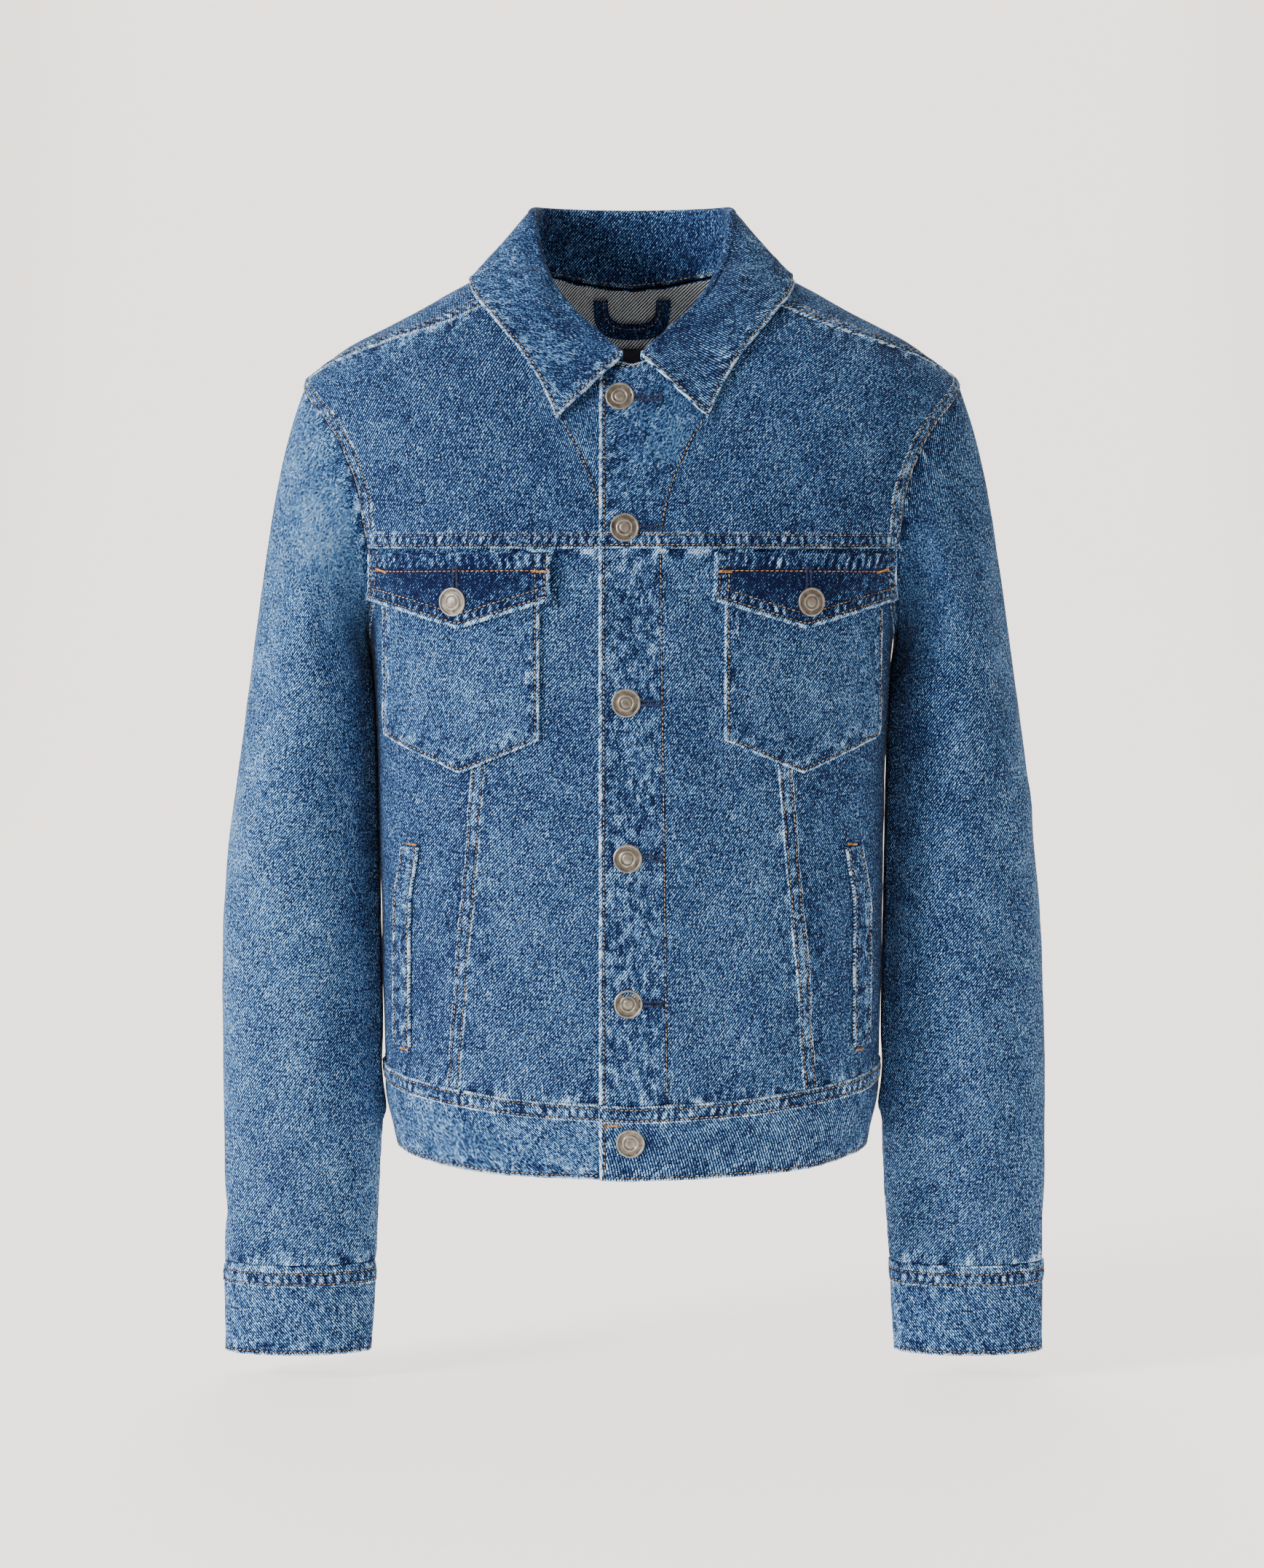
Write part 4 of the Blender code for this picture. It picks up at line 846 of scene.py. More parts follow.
def sleeve_panels(side):
    upper = fine_sleeve(side, BACK_SLEEVE_SEAM - 360.0, FRONT_SLEEVE_SEAM, steps_over(255.0, SLEEVE_STEP))
    under = fine_sleeve(side, FRONT_SLEEVE_SEAM, BACK_SLEEVE_SEAM, steps_over(84.0, SLEEVE_STEP))
    flipped = side == "R"
    return {
        "upper": panel(f"sleeve_upper_{side}", inset(upper, 0.2), flipped, slot="denim_light", level="last_row",
                       puckered={"last_row": SLACK, "first_row": SEAMED, "first_column": SLACK}),
        "under": panel(f"sleeve_under_{side}", inset(under, 0.2), flipped, slot="denim_light", level="last_row",
                       puckered={"last_row": SLACK, "last_column": SLACK, "first_column": SEAMED}),
    }


def cuff_panel(side):
    lap = np.linspace(CUFF_START, CUFF_START - CUFF_TURN, 104)[None, :]
    z = np.linspace(CUFF_TOP - GAP, CUFF_BOTTOM, 26)[:, None]
    grid = sleeve_ring(side, lap + 0 * z, z + 0 * lap)
    middle = grid[:, :-1].mean(axis=1, keepdims=True)
    over = eased((CUFF_START - lap - CUFF_RISE[0]) / CUFF_RISE[1])
    outward = unit((grid - middle) * np.array([1.0, 2.0, 0.0]))
    rough = 0.9 * waves(lap * 0.8, z * 1.7) * eased((CUFF_TOP - z) / 12.0)
    grid = grid + outward * (over * CUFF_LAYER + rough)[..., None]
    return panel(f"cuff_{side}", grid, side == "L", THICK_WALL, {"first_row": GATHERED, "last_row": SEAMED},
                 mirrored_weave=True)


def waist_panel():
    end = turn_of(face_point(PLACKET_EDGE, WAIST_TOP[0, 1]))
    turns = np.linspace(end, -360.0 - end, steps_over(1010.0) + 1)[None, :]
    folded = folded_turn(turns)
    top, bottom = smooth(folded, WAIST_TOP, 1) - GAP, smooth(folded, WAIST_BOTTOM, 1)
    v = np.linspace(0, 1, 21)[:, None]
    grid = torso_point(turns + 0 * v, bottom * (1 - v) + top * v)
    lift = np.where(turns < -180.0, front_lift(grid, WAIST_LAYER), 0.0)
    return panel("waistband", on_cloth(grid, lift=lift), True, THICK_WALL,
                 {"first_row": SLACK, "last_row": GATHERED}, mirrored_weave=True)


def collar_panel():
    """The stand rises inside from the neck seam, rolls over and falls as the leaf. Its last row is the edge."""
    along = np.concatenate([np.linspace(0, 1, 90), 2 - np.linspace(0, 1, 90)[-2::-1]])
    at = np.interp(np.minimum(along, 2 - along), [0, 1], [0, len(COLLAR) - 1])
    rows = np.column_stack([np.arange(len(COLLAR)), COLLAR])
    turn, roll_x, roll_y, roll_z, edge_turn, edge_z = [smooth(at, rows, column) for column in range(1, 7)]
    sign = np.where(along <= 1, -1.0, 1.0)
    mirror = points(sign, 1.0, 1.0)
    seam = torso_point(turn, smooth(turn, NECK, 1)) * mirror
    roll = points(sign * roll_x, roll_y, roll_z)
    out = unit(points(roll[:, 0], roll[:, 1], 0.0))
    centre = roll - np.array([0, 0, ROLL_RADIUS])
    flat_edge = torso_point(edge_turn, edge_z) * mirror
    leaf_edge = flat_edge + torso_normal(flat_edge) * LEAF_CLEAR
    stand_top = centre - out * ROLL_RADIUS
    seam = seam + unit(stand_top - seam) * STAND_RISE
    stand = [seam + (stand_top - seam) * t for t in np.linspace(0, 1, 18)[:-1]]
    fold = [
        centre + (-out * math.cos(a) + np.array([0, 0, 1.0]) * math.sin(a)) * ROLL_RADIUS
        for a in np.radians(np.linspace(0, 180, 7))
    ]
    start = fold[-1]
    bulge = torso_normal(flat_edge) * LEAF_BULGE[0] + out * LEAF_BULGE[1]
    leaf = []
    for t in np.linspace(0, 1, 27)[1:]:
        line = start + (leaf_edge - start) * t + bulge * (t * (1 - t))
        short = np.maximum(LEAF_CLEAR * eased(t / CLEAR_FROM) - torso_distance(line), 0.0)
        leaf.append(line + torso_normal(line) * short[:, None])
    grid = np.stack(stand + fold + leaf)
    return panel("collar", grid, False, COLLAR_WALL, slot="denim_dark", puckered={
        "last_row": GATHERED, "first_column": GATHERED, "last_column": GATHERED, "first_row": SLACK})


def patch(name, side, x, z, out, slot, puckered, thickness=WALL):
    """A piece that lies on a front. Rows run down and columns run out."""
    sign = sign_of(side)
    p = face_point(sign * x, z)
    lift = front_lift(p, FRONT_LAYER) if side == "L" else 0.0
    return panel(name, on_cloth(p, out, lift), side == "L", thickness, puckered, slot)


def pocket_panels(side):
    u = np.linspace(0, 1, 45)[None, :]
    peak = 1 - np.abs(2 * u - 1)
    v = np.linspace(0, 1, 23)[:, None]
    x = FLAP["inner"] + (FLAP["outer"] - FLAP["inner"]) * u
    low = FLAP_TOP_Z - FLAP["side"] - (FLAP["point"] - FLAP["side"]) * peak
    flare = 1.2 * eased((v - 0.55) / 0.45) * np.sign(u - 0.5) * eased((np.abs(2 * u - 1) - 0.8) / 0.2)
    flap = patch(f"pocket_flap_{side}", side, x + 0 * v + flare, FLAP_TOP_Z + (low - FLAP_TOP_Z) * v,
                 2 * LAYER, "denim_dark", dict.fromkeys(
                     ("last_row", "first_column", "last_column", "first_row"), SEAMED))
    v = np.linspace(0, 1, 54)[:, None]
    x = POCKET["inner"] + (POCKET["outer"] - POCKET["inner"]) * u
    low = POCKET["side"] + (POCKET["point"] - POCKET["side"]) * peak
    pocket = patch(f"chest_pocket_{side}", side, x + 0 * v, POCKET["top"] + (low - POCKET["top"]) * v,
                   LAYER, "denim_light", {
                       "last_row": GATHERED, "first_column": SLACK, "last_column": SLACK})
    return {"flap": flap, "pocket": pocket}


def welt_panel(side):
    z = np.linspace(WELT[0, 1], WELT[-1, 1], 52)[:, None]
    u = np.linspace(0, WELT_WIDTH, 6)[None, :]
    return patch(f"welt_{side}", side, smooth(z, WELT[:, ::-1], 1) + u, z + 0 * u, LAYER, "denim",
                 {"first_column": SEAMED, "last_column": SEAMED})


def inner_panels():
    x = np.linspace(-LABEL_HALF, LABEL_HALF, 24)[None, :]
    z = np.linspace(LABEL_TOP, LABEL_BOTTOM, 18)[:, None]
    label = on_cloth(face_point(x + 0 * z, z + 0 * x, "back"), -LABEL_DEPTH)
    arc = np.linspace(0, math.pi, 60)[None, :]
    across = np.linspace(0, LOOP_WIDTH, 6)[:, None]
    ring_x = np.sign(np.cos(arc)) * np.abs(np.cos(arc)) ** LOOP_SQUARE * (LOOP_HALF - across)
    ring_z = LOOP_TOP - np.sin(arc) ** LOOP_SQUARE * (LOOP_TOP - LOOP_LOW - across)
    loop = on_cloth(face_point(ring_x, ring_z, "back"), -LOOP_DEPTH - 0.5 * np.sin(across * math.pi / LOOP_WIDTH))
    return {
        "label": panel("neck_label", label, True, LABEL_WALL, slot="label_cloth"),
        "loop": panel("hanger_loop", loop, True, LOOP_WALL, slot="denim_dark"),
    }


# ---- meshes ----


def mesh_object(name, verts, faces):
    mesh = bpy.data.meshes.new(name)
    mesh.from_pydata((np.asarray(verts) * MM).tolist(), [], [list(map(int, face)) for face in faces])
    mesh.shade_smooth()
    obj = bpy.data.objects.new(name, mesh)
    bpy.context.scene.collection.objects.link(obj)
    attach(obj, "root")
    return obj


def grid_faces(rows, columns, flipped):
    index = np.arange(rows * columns).reshape(rows, columns)
    faces = np.stack([index[:-1, :-1], index[:-1, 1:], index[1:, 1:], index[1:, :-1]], axis=-1).reshape(-1, 4)
    return faces[:, ::-1] if flipped else faces


def give_uv(mesh, uv):
    """One map in metres along the cloth, so that a weave keeps its real size."""
    layer = mesh.uv_layers.new(name="cloth")
    corner = np.empty(len(mesh.loops), np.int32)
    mesh.loops.foreach_get("vertex_index", corner)
    layer.data.foreach_set("uv", (uv.reshape(-1, 2)[corner] * MM).ravel())


def give_values(mesh, **values):
    for name, value in values.items():
        made = mesh.attributes.new(name, "FLOAT", "POINT")
        made.data.foreach_set("value", np.asarray(value, np.float32).ravel())


def sew_up(cloth, outside, inside):
    """The panel as a wall of cloth that replaces its CAD solid."""
    grid = cloth["grid"]
    obj = mesh_object(f"cloth_{cloth['name']}", grid.reshape(-1, 3),
                      grid_faces(*grid.shape[:2], cloth["flipped"]))
    give_uv(obj.data, cloth["uv"])
    give_values(obj.data, near=cloth["near"], pucker=cloth["pucker"], fade=cloth["fade"],
                rim=0 * cloth["near"])
    obj.data.materials.append(outside)
    obj.data.materials.append(inside)
    solid = obj.modifiers.new("thickness", "SOLIDIFY")
    solid.thickness = cloth["thickness"] * MM
    solid.offset = 0.0
    solid.use_rim = True
    solid.material_offset = 1
    solid.material_offset_rim = 0
    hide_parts(cloth["name"])
    return obj


# ---- turned edges and felled seams: in from the border, above the cloth, fade, bare rim ----

EDGE = (
    (-0.4, -0.9, 0.1, 1.0), (-0.25, 0.1, 0.1, 1.0), (0.2, 0.5, 0.1, 1.0), (0.8, 0.62, 0.05, 0.9),
    (1.4, 0.45, 0.0, 0.35), (1.9, 0.15, -0.25, 0.0), (2.4, 0.08, -0.45, 0.0), (2.9, 0.15, -0.25, 0.0),
    (3.6, 0.35, 0.0, 0.0), (5.5, 0.38, 0.0, 0.0), (8.0, 0.18, 0.0, 0.0), (9.6, -0.12, 0.0, 0.0),
)
CLOSING_EDGE = (
    (-0.4, -0.9, 0.1, 1.0), (-0.25, 0.1, 0.1, 1.0), (0.4, 0.65, 0.12, 1.0), (1.3, 0.75, 0.1, 1.0),
    (2.0, 0.55, 0.02, 0.5), (2.5, 0.2, -0.25, 0.0), (3.0, 0.08, -0.45, 0.0), (3.6, 0.15, -0.25, 0.0),
    (4.4, 0.35, 0.0, 0.0), (6.5, 0.38, 0.0, 0.0), (9.0, 0.18, 0.0, 0.0), (10.6, -0.12, 0.0, 0.0),
)
FLAP_EDGE = (
    (-0.45, -0.9, 0.1, 1.0), (-0.3, 0.15, 0.1, 1.0), (0.4, 0.75, 0.14, 1.0), (1.5, 0.85, 0.12, 1.0),
    (2.3, 0.55, 0.02, 0.5), (2.8, 0.22, -0.25, 0.0), (3.3, 0.12, -0.42, 0.0), (3.9, 0.22, -0.2, 0.0),
    (5.0, 0.5, 0.0, 0.0), (6.6, 0.55, 0.0, 0.0), (8.2, 0.4, 0.0, 0.0), (8.9, 0.2, -0.2, 0.0),
    (9.4, 0.12, -0.42, 0.0), (9.9, 0.15, -0.2, 0.0), (11.0, -0.1, 0.0, 0.0),
)
FLAP_HEAD = (
    (0.3, -0.1, 0.0, 0.0), (1.4, 0.35, 0.0, 0.0), (4.0, 0.5, 0.0, 0.0), (8.0, 0.5, 0.0, 0.0),
    (11.0, 0.3, -0.2, 0.0), (12.0, 0.1, -0.45, 0.0), (12.8, 0.1, -0.3, 0.0), (13.8, -0.1, -0.2, 0.0),
)
FELL = (
    (-0.3, -0.7, 0.1, 1.0), (-0.1, 0.35, 0.12, 1.0), (0.5, 0.9, 0.08, 0.9), (1.1, 0.9, 0.0, 0.45),
    (1.7, 0.55, -0.25, 0.0), (2.2, 0.42, -0.45, 0.0), (2.7, 0.55, -0.22, 0.0), (3.4, 0.85, 0.0, 0.0),
    (5.4, 1.0, 0.0, 0.0), (7.4, 0.85, 0.0, 0.0), (8.1, 0.55, -0.22, 0.0), (8.6, 0.42, -0.45, 0.0),
    (9.1, 0.55, -0.2, 0.0), (9.8, 0.62, 0.05, 0.4), (10.8, 0.35, 0.04, 0.2), (11.7, -0.15, 0.0, 0.0),
)
STRAP = (
    (-5.4, -0.2, 0.05, 0.4), (-5.0, 0.55, 0.1, 0.9), (-4.3, 0.95, 0.06, 0.6), (-3.7, 0.6, -0.22, 0.0),
    (-3.2, 0.45, -0.42, 0.0), (-2.7, 0.6, -0.2, 0.0), (-1.6, 0.85, 0.04, 0.1), (0.0, 0.9, 0.06, 0.12),
    (1.6, 0.85, 0.04, 0.1), (2.7, 0.6, -0.2, 0.0), (3.2, 0.45, -0.42, 0.0), (3.7, 0.6, -0.22, 0.0),
    (4.3, 0.95, 0.06, 0.6), (5.0, 0.55, 0.1, 0.9), (5.4, -0.2, 0.05, 0.4),
)
ARMHOLE_FELL = tuple((distance + 5.5, *rest) for distance, *rest in STRAP)
CUFF_BAND = (
    (0.6, -0.1, 0.0, 0.0), (2.6, 0.3, 0.03, 0.2), (4.4, 0.8, 0.05, 0.5), (5.1, 0.55, -0.2, 0.0),
    (5.7, 0.4, -0.42, 0.0), (6.3, 0.55, -0.2, 0.0), (7.6, 0.9, 0.0, 0.0), (9.4, 1.0, 0.0, 0.0),
    (11.2, 0.9, 0.0, 0.0), (12.4, 0.55, -0.2, 0.0), (13.0, 0.4, -0.42, 0.0), (13.6, 0.55, -0.2, 0.0),
    (14.4, 0.6, 0.06, 0.5), (15.6, -0.1, 0.0, 0.1),
)
WAIST_BAND = (
    (-0.1, -0.2, 0.0, 0.3), (0.3, 0.7, 0.08, 0.8), (1.2, 0.95, 0.02, 0.4), (1.9, 0.6, -0.2, 0.0),
    (2.4, 0.45, -0.42, 0.0), (2.9, 0.6, -0.2, 0.0), (4.2, 0.95, 0.0, 0.0), (6.0, 1.05, 0.0, 0.0),
    (7.8, 0.95, 0.0, 0.0), (9.0, 0.6, -0.2, 0.0), (9.5, 0.45, -0.42, 0.0), (10.0, 0.6, -0.2, 0.0),
    (10.9, 0.75, 0.1, 0.8), (11.6, 0.2, 0.05, 0.5), (12.0, -0.15, -0.1, 0.0),
)
BED = ((-1.4, -0.1, 0.0, 0.0), (-0.6, 0.12, -0.25, 0.0), (0.0, 0.1, -0.42, 0.0), (0.6, 0.12, -0.25, 0.0),
       (1.4, -0.1, 0.0, 0.0))


def strip(cloth, name, rows, profile, outside, teeth=None, slant=0.3):
    """Cloth folded or pressed along lines of a panel. teeth is the worn part's inner and outer distance."""
    known = np.stack(rows)
    distance, height, fade, rim = np.array(profile).T[:, :, None] + 0 * known[..., 0]
    run = lengths(known[..., :3], 1)
    seed = sum(map(ord, name))
    ragged = uneven(run / 2.1, distance / 1.5, seed)
    tooth = np.zeros_like(run)
    if teeth:
        middle, half = (teeth[0] + teeth[1]) / 2, (teeth[1] - teeth[0]) / 2
        window = np.exp(-(((distance - middle) / half) ** 4))
        beat = (run + slant * (distance - middle)) * 2 * math.pi / TEETH
        beat = np.sin(beat + 2.4 * uneven(run / 26.0, 0 * run, seed + 1))
        strength = 0.75 + 0.5 * uneven(run / 7.0, 0 * run, seed + 2)
        tooth = window * np.clip(beat * 1.5, -1, 1) * strength
    lift = height + 0.25 * tooth + 0.12 * ragged * rim
    grid = known[..., :3] + known[..., 3:6] * lift[..., None]
    # Rows may run either way, so the faces are turned to look along the normals.
    facing = np.cross(np.gradient(grid, axis=1), np.gradient(grid, axis=0))
    turned = (facing * known[..., 3:6]).sum() < 0
    obj = mesh_object(name, grid.reshape(-1, 3), grid_faces(*grid.shape[:2], turned))
    give_uv(obj.data, known[..., 6:])
    bars = uneven(run / 4.2, distance / 9.0, seed + 3)
    give_values(obj.data, near=0.8 + 0 * run, pucker=0.8 * bars, rim=rim * (0.75 + 0.6 * ragged),
                fade=1.2 * fade + 0.42 * tooth + cloth["tone"])
    obj.data.materials.append(outside)
    cloth["with"].append(obj)
    return obj


def band(cloth, border, profile, outside, start=0.0, end=0.0, teeth=None, slant=0.3):
    """A strip along one border. A row sewn there later lies on it."""
    first = beside(cloth, border, max(profile[0][0], 0.0))
    count = int((length_of(first) - start - end) / FINE_STEP)
    rows = [even(beside(cloth, border, row[0]), count, start, end) for row in profile]
    cloth["profiles"][border] = np.array(profile)
    number = len(cloth["with"])
    return strip(cloth, f"{cloth['name']}_{border}_{number}", rows, profile, outside, teeth, slant)


def bed(cloth, trace, outside):
    """The pressed line under a row that crosses a panel."""
    trace = even(trace, int(length_of(trace) / FINE_STEP))
    side = unit(np.cross(trace[:, 3:6], np.gradient(trace[:, :3], axis=0)))
    rows = []
    for row in BED:
        moved = trace.copy()
        moved[:, :3] += side * row[0]
        moved[:, 6] += row[0]
        rows.append(moved)
    return strip(cloth, f"{cloth['name']}_bed_{len(cloth['with'])}", rows, BED, outside)


# ---- sewing ----

STITCH = 3.3  # from one stitch to the next
STITCH_LENGTH = 2.5
THREAD = 0.85  # across a stitch
TACK_STEP = 0.62  # between the stitches of a bartack or a buttonhole


def clear_selection():
    for obj in bpy.context.selected_objects:
        obj.select_set(False)


def stitch_shape():
    """One plump stitch a unit long, lying along X with Z up. It is modelled once and copied by its points."""
    clear_selection()
    bpy.ops.mesh.primitive_uv_sphere_add(segments=5, ring_count=4, radius=0.5)
    obj = bpy.context.object
    bpy.ops.object.mode_set(mode="EDIT")
    bpy.ops.mesh.select_all(action="SELECT")
    bpy.ops.transform.rotate(value=math.pi / 2, orient_axis="Y", center_override=(0, 0, 0))
    bpy.ops.object.mode_set(mode="OBJECT")
    verts = np.array([v.co[:] for v in obj.data.vertices])
    faces = np.array([list(f.vertices) for f in obj.data.polygons], dtype=object)
    bpy.data.objects.remove(obj)
    return verts, faces


STITCH_VERTS, STITCH_FACES = stitch_shape()


class Thread:
    """All the thread of one colour on one piece, joined as one mesh."""

    def __init__(self, colour):
        self.colour, self.verts, self.faces = colour, [], []

    def one(self, place, along, up, length=STITCH_LENGTH, width=THREAD, height=0.6):
        """A stitch at a place. It dives into the cloth at its ends."""
        side = np.cross(up, along)
        start = len(self.verts) * len(STITCH_VERTS)
        dive = -0.8 * STITCH_VERTS[:, 0] ** 2
        self.verts.append(
            place
            + np.outer(STITCH_VERTS[:, 0] * length, along)
            + np.outer(STITCH_VERTS[:, 1] * width, side)
            + np.outer(STITCH_VERTS[:, 2] * height + dive, up)
        )
        self.faces += [[start + i for i in face] for face in STITCH_FACES]

    def row(self, trace, out=0.0):
        """A lockstitched row."""
        trace = even(trace, max(1, int(length_of(trace) / STITCH)))
        middle, up = (trace[1:, :3] + trace[:-1, :3]) / 2, unit(trace[1:, 3:6] + trace[:-1, 3:6])
        for place, along, normal in zip(middle, unit(np.diff(trace[:, :3], axis=0)), up):
            # Each stitch lies slightly across the row, as a twisted thread pulls it.
            slant = unit(along + 0.12 * np.cross(normal, along))
            self.one(place + normal * (0.26 + out), slant, normal)

    def tack(self, place, along, up, length, width=1.8):
        """A bartack: close satin stitches across a short line."""
        side = unit(np.cross(up, along))
        count = int(length / TACK_STEP)
        for i in range(count):
            at = place + along * ((i + 0.5) / count - 0.5) * length
            slant = unit(side + along * (0.16 if i % 2 else -0.16))
            self.one(at + up * 0.45, slant, up, width, 0.75, 0.9)


def sew(cloth, thread, border, distance, start=0.0, end=0.0):
    """A row beside one border, on the strip that lies there if there is one."""
    out = 0.0
    if border in cloth["profiles"]:
        out = np.interp(distance, *cloth["profiles"][border][:, :2].T)
    trace = beside(cloth, border, distance)
    thread.row(even(trace, int(length_of(trace) / FINE_STEP), start, end), out)


def finish_thread(cloth, thread, finish):
    if thread.verts:
        obj = mesh_object(f"{thread.colour}_{cloth['name']}", np.concatenate(thread.verts), thread.faces)
        obj.data.materials.append(finish)
        cloth["with"].append(obj)


# ---- shank buttons ----

BUTTON_RADIUS = 9.5
PLATE, PLATE_HEIGHT = 1.0, 2.0  # its thickness, and its middle above the cloth
SHANK_INSET, SHANK = 2.6, 1.5  # in from the plate's rim, and from the plate down to the cloth
ROLL = 0.16
CUFF_MIDDLE = np.array([ARM_MIDDLE, -16.0, -700.0])


def button_shape(round_steps=40):
    """A tack button: a rolled rim, a sunk bare ring, an inner bead and a flat middle, over its shank."""
    clear_selection()
    bpy.ops.mesh.primitive_cylinder_add(
        vertices=round_steps, radius=BUTTON_RADIUS, depth=PLATE, location=(0, 0, PLATE_HEIGHT))
    obj = bpy.context.object
    bpy.ops.object.mode_set(mode="EDIT")
    bpy.ops.mesh.select_mode(type="FACE")

    def top_face():
        """Selects the face in the middle of the front."""
        bpy.ops.object.mode_set(mode="OBJECT")
        for face in obj.data.polygons:
            face.select = len(face.vertices) == round_steps and face.normal.z > 0.9
        bpy.ops.object.mode_set(mode="EDIT")

    # inset, then lift or sink the face that is left
    for inset_by, lift in (
        (0.35, 0.35), (0.75, 0.0), (0.45, -0.55), (2.35, 0.0), (0.35, 0.38), (0.7, 0.05), (0.35, -0.4),
        (1.0, 0.0), (0.35, 0.3), (2.1, 0.12),
    ):
        top_face()
        bpy.ops.mesh.inset(thickness=inset_by, depth=0.0)
        bpy.ops.transform.translate(value=(0, 0, lift))
    bpy.ops.object.mode_set(mode="OBJECT")
    for face in obj.data.polygons:
        face.select = len(face.vertices) == round_steps and face.normal.z < -0.9
    bpy.ops.object.mode_set(mode="EDIT")
    bpy.ops.mesh.inset(thickness=SHANK_INSET, depth=0.0)
    bpy.ops.mesh.extrude_region_move(TRANSFORM_OT_translate={"value": (0, 0, -SHANK)})
    bpy.ops.object.mode_set(mode="OBJECT")
    bevel = obj.modifiers.new("rolled", "BEVEL")
    bevel.width = ROLL
    bevel.segments = 2
    bevel.limit_method = "ANGLE"
    bevel.angle_limit = math.radians(20)
    bpy.ops.object.modifier_apply(modifier="rolled")
    verts = np.array([v.co[:] for v in obj.data.vertices])
    faces = [list(f.vertices) for f in obj.data.polygons]
    bpy.data.objects.remove(obj)
    return verts, faces


BUTTON_VERTS, BUTTON_FACES = button_shape()


def place_button(node, finish):
    """A copy of the tack button where its CAD solid stands."""
    source = bpy.data.objects[node]
    corners = np.array([v.co[:] for v in source.data.vertices]) / MM
    middle = corners.mean(axis=0)
    # The flattest direction of the solid is the way that the button faces.
    facing = np.linalg.svd(corners - middle)[2][2]
    away = middle - CUFF_MIDDLE * mirror_of(node[-1]) if "cuff" in node else np.array([0.0, middle[1], 0.0])
    facing = facing if facing @ away > 0 else -facing
    heights = (corners - middle) @ facing
    base = middle + facing * heights.min()
    turn = np.array(Vector(facing).to_track_quat("Z", "Y").to_matrix())
    obj = mesh_object(f"fine_{node}", BUTTON_VERTS @ turn.T + base, BUTTON_FACES)
    obj.data.shade_smooth()
    obj.data.materials.append(finish)
    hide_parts(node)


def buttonhole(thread, place, along, up, length):
    """A worked keyhole: close zigzag thread on both sides of its slit, with a bar at its far end."""
    side = unit(np.cross(up, along))
    count = int(length / TACK_STEP)
    for i in range(count):
        far = (i + 0.5) / count
        at = place + along * far * length
        # The eye is by the button, at the near end.
        open_by = 1.35 + 0.9 * math.exp(-((far / 0.16) ** 2))
        for sign in (-1, 1):
            slant = unit(side + along * (0.3 if (i + (sign > 0)) % 2 else -0.3))
            thread.one(at + side * sign * open_by + up * 0.35, slant, up, 2.3, 0.72, 0.8)
    thread.tack(place + along * (length + 0.5), side, up, 4.4, 2.2)


# ---- finishes ----


def linear(hex_colour, alpha=1.0):
    """An sRGB hex colour as linear light."""
    values = [int(hex_colour[i:i + 2], 16) / 255 for i in (1, 3, 5)]
    return [v / 12.92 if v <= 0.04045 else ((v + 0.055) / 1.055) ** 2.4 for v in values] + [alpha]


def new_finish(name):
    made = bpy.data.materials.new(name)
    made.use_nodes = True
    return made, made.node_tree.nodes["Principled BSDF"]


def feed(made, node, inputs):
    """Sets a node's inputs. Each is a value or another node's output."""
    for key, value in inputs.items():
        if isinstance(value, bpy.types.NodeSocket):
            made.node_tree.links.new(value, node.inputs[key])
        else:
            node.inputs[key].default_value = value


def add(made, kind, settings=None, inputs=None):
    node = made.node_tree.nodes.new(kind)
    for key, value in (settings or {}).items():
        setattr(node, key, value)
    feed(made, node, inputs or {})
    return node


def bumped(made, height, strength, depth_mm):
    return add(made, "ShaderNodeBump", inputs={
        "Strength": strength, "Distance": depth_mm * MM, "Height": height,
    }).outputs["Normal"]


def object_noise(made, scale, detail):
    """Noise on the object's own coordinates, for what has no map."""
    place = add(made, "ShaderNodeTexCoord").outputs["Object"]
    noise = add(made, "ShaderNodeTexNoise", inputs={"Vector": place, "Scale": scale, "Detail": detail})
    return noise.outputs["Fac"]


def ramp(made, value, stops):
    """A colour ramp over (place, hex)."""
    node = add(made, "ShaderNodeValToRGB", inputs={"Fac": value})
    elements = node.color_ramp.elements
    while len(elements) < len(stops):
        elements.new(0.5)
    for element, (place, colour) in zip(elements, stops):
        element.position = place
        element.color = linear(colour)
    return node.outputs["Color"]


def maths(made, operation, first, second=0.0, third=0.0):
    return add(made, "ShaderNodeMath", {"operation": operation}, {0: first, 1: second, 2: third}).outputs[0]


def weighted(made, terms):
    """The sum of (value, weight, level taken as none) over the terms."""
    total = 0.0
    for value, weight, level in terms:
        total = maths(made, "ADD", maths(made, "MULTIPLY_ADD", value, weight, -weight * level), total)
    return total


def cloth_map(made):
    return add(made, "ShaderNodeUVMap", {"uv_map": "cloth"}).outputs["UV"]


def on_map(made, across_mm, along_mm, turn):
    """The cloth's own map with a unit across_mm wide and along_mm long."""
    return add(made, "ShaderNodeMapping", inputs={
        "Vector": cloth_map(made), "Rotation": (0, 0, turn),
        "Scale": (1 / (across_mm * MM), 1 / (along_mm * MM), 1),
    }).outputs[0]


def cloth_noise(made, across_mm, along_mm, detail=2.0, rough=0.6, turn=0.0):
    """Noise on the cloth's own map, its grain across_mm wide and along_mm long."""
    node = add(made, "ShaderNodeTexNoise", inputs={
        "Vector": on_map(made, across_mm, along_mm, turn), "Scale": 1.0, "Detail": detail, "Roughness": rough,
    })
    return node.outputs["Fac"]


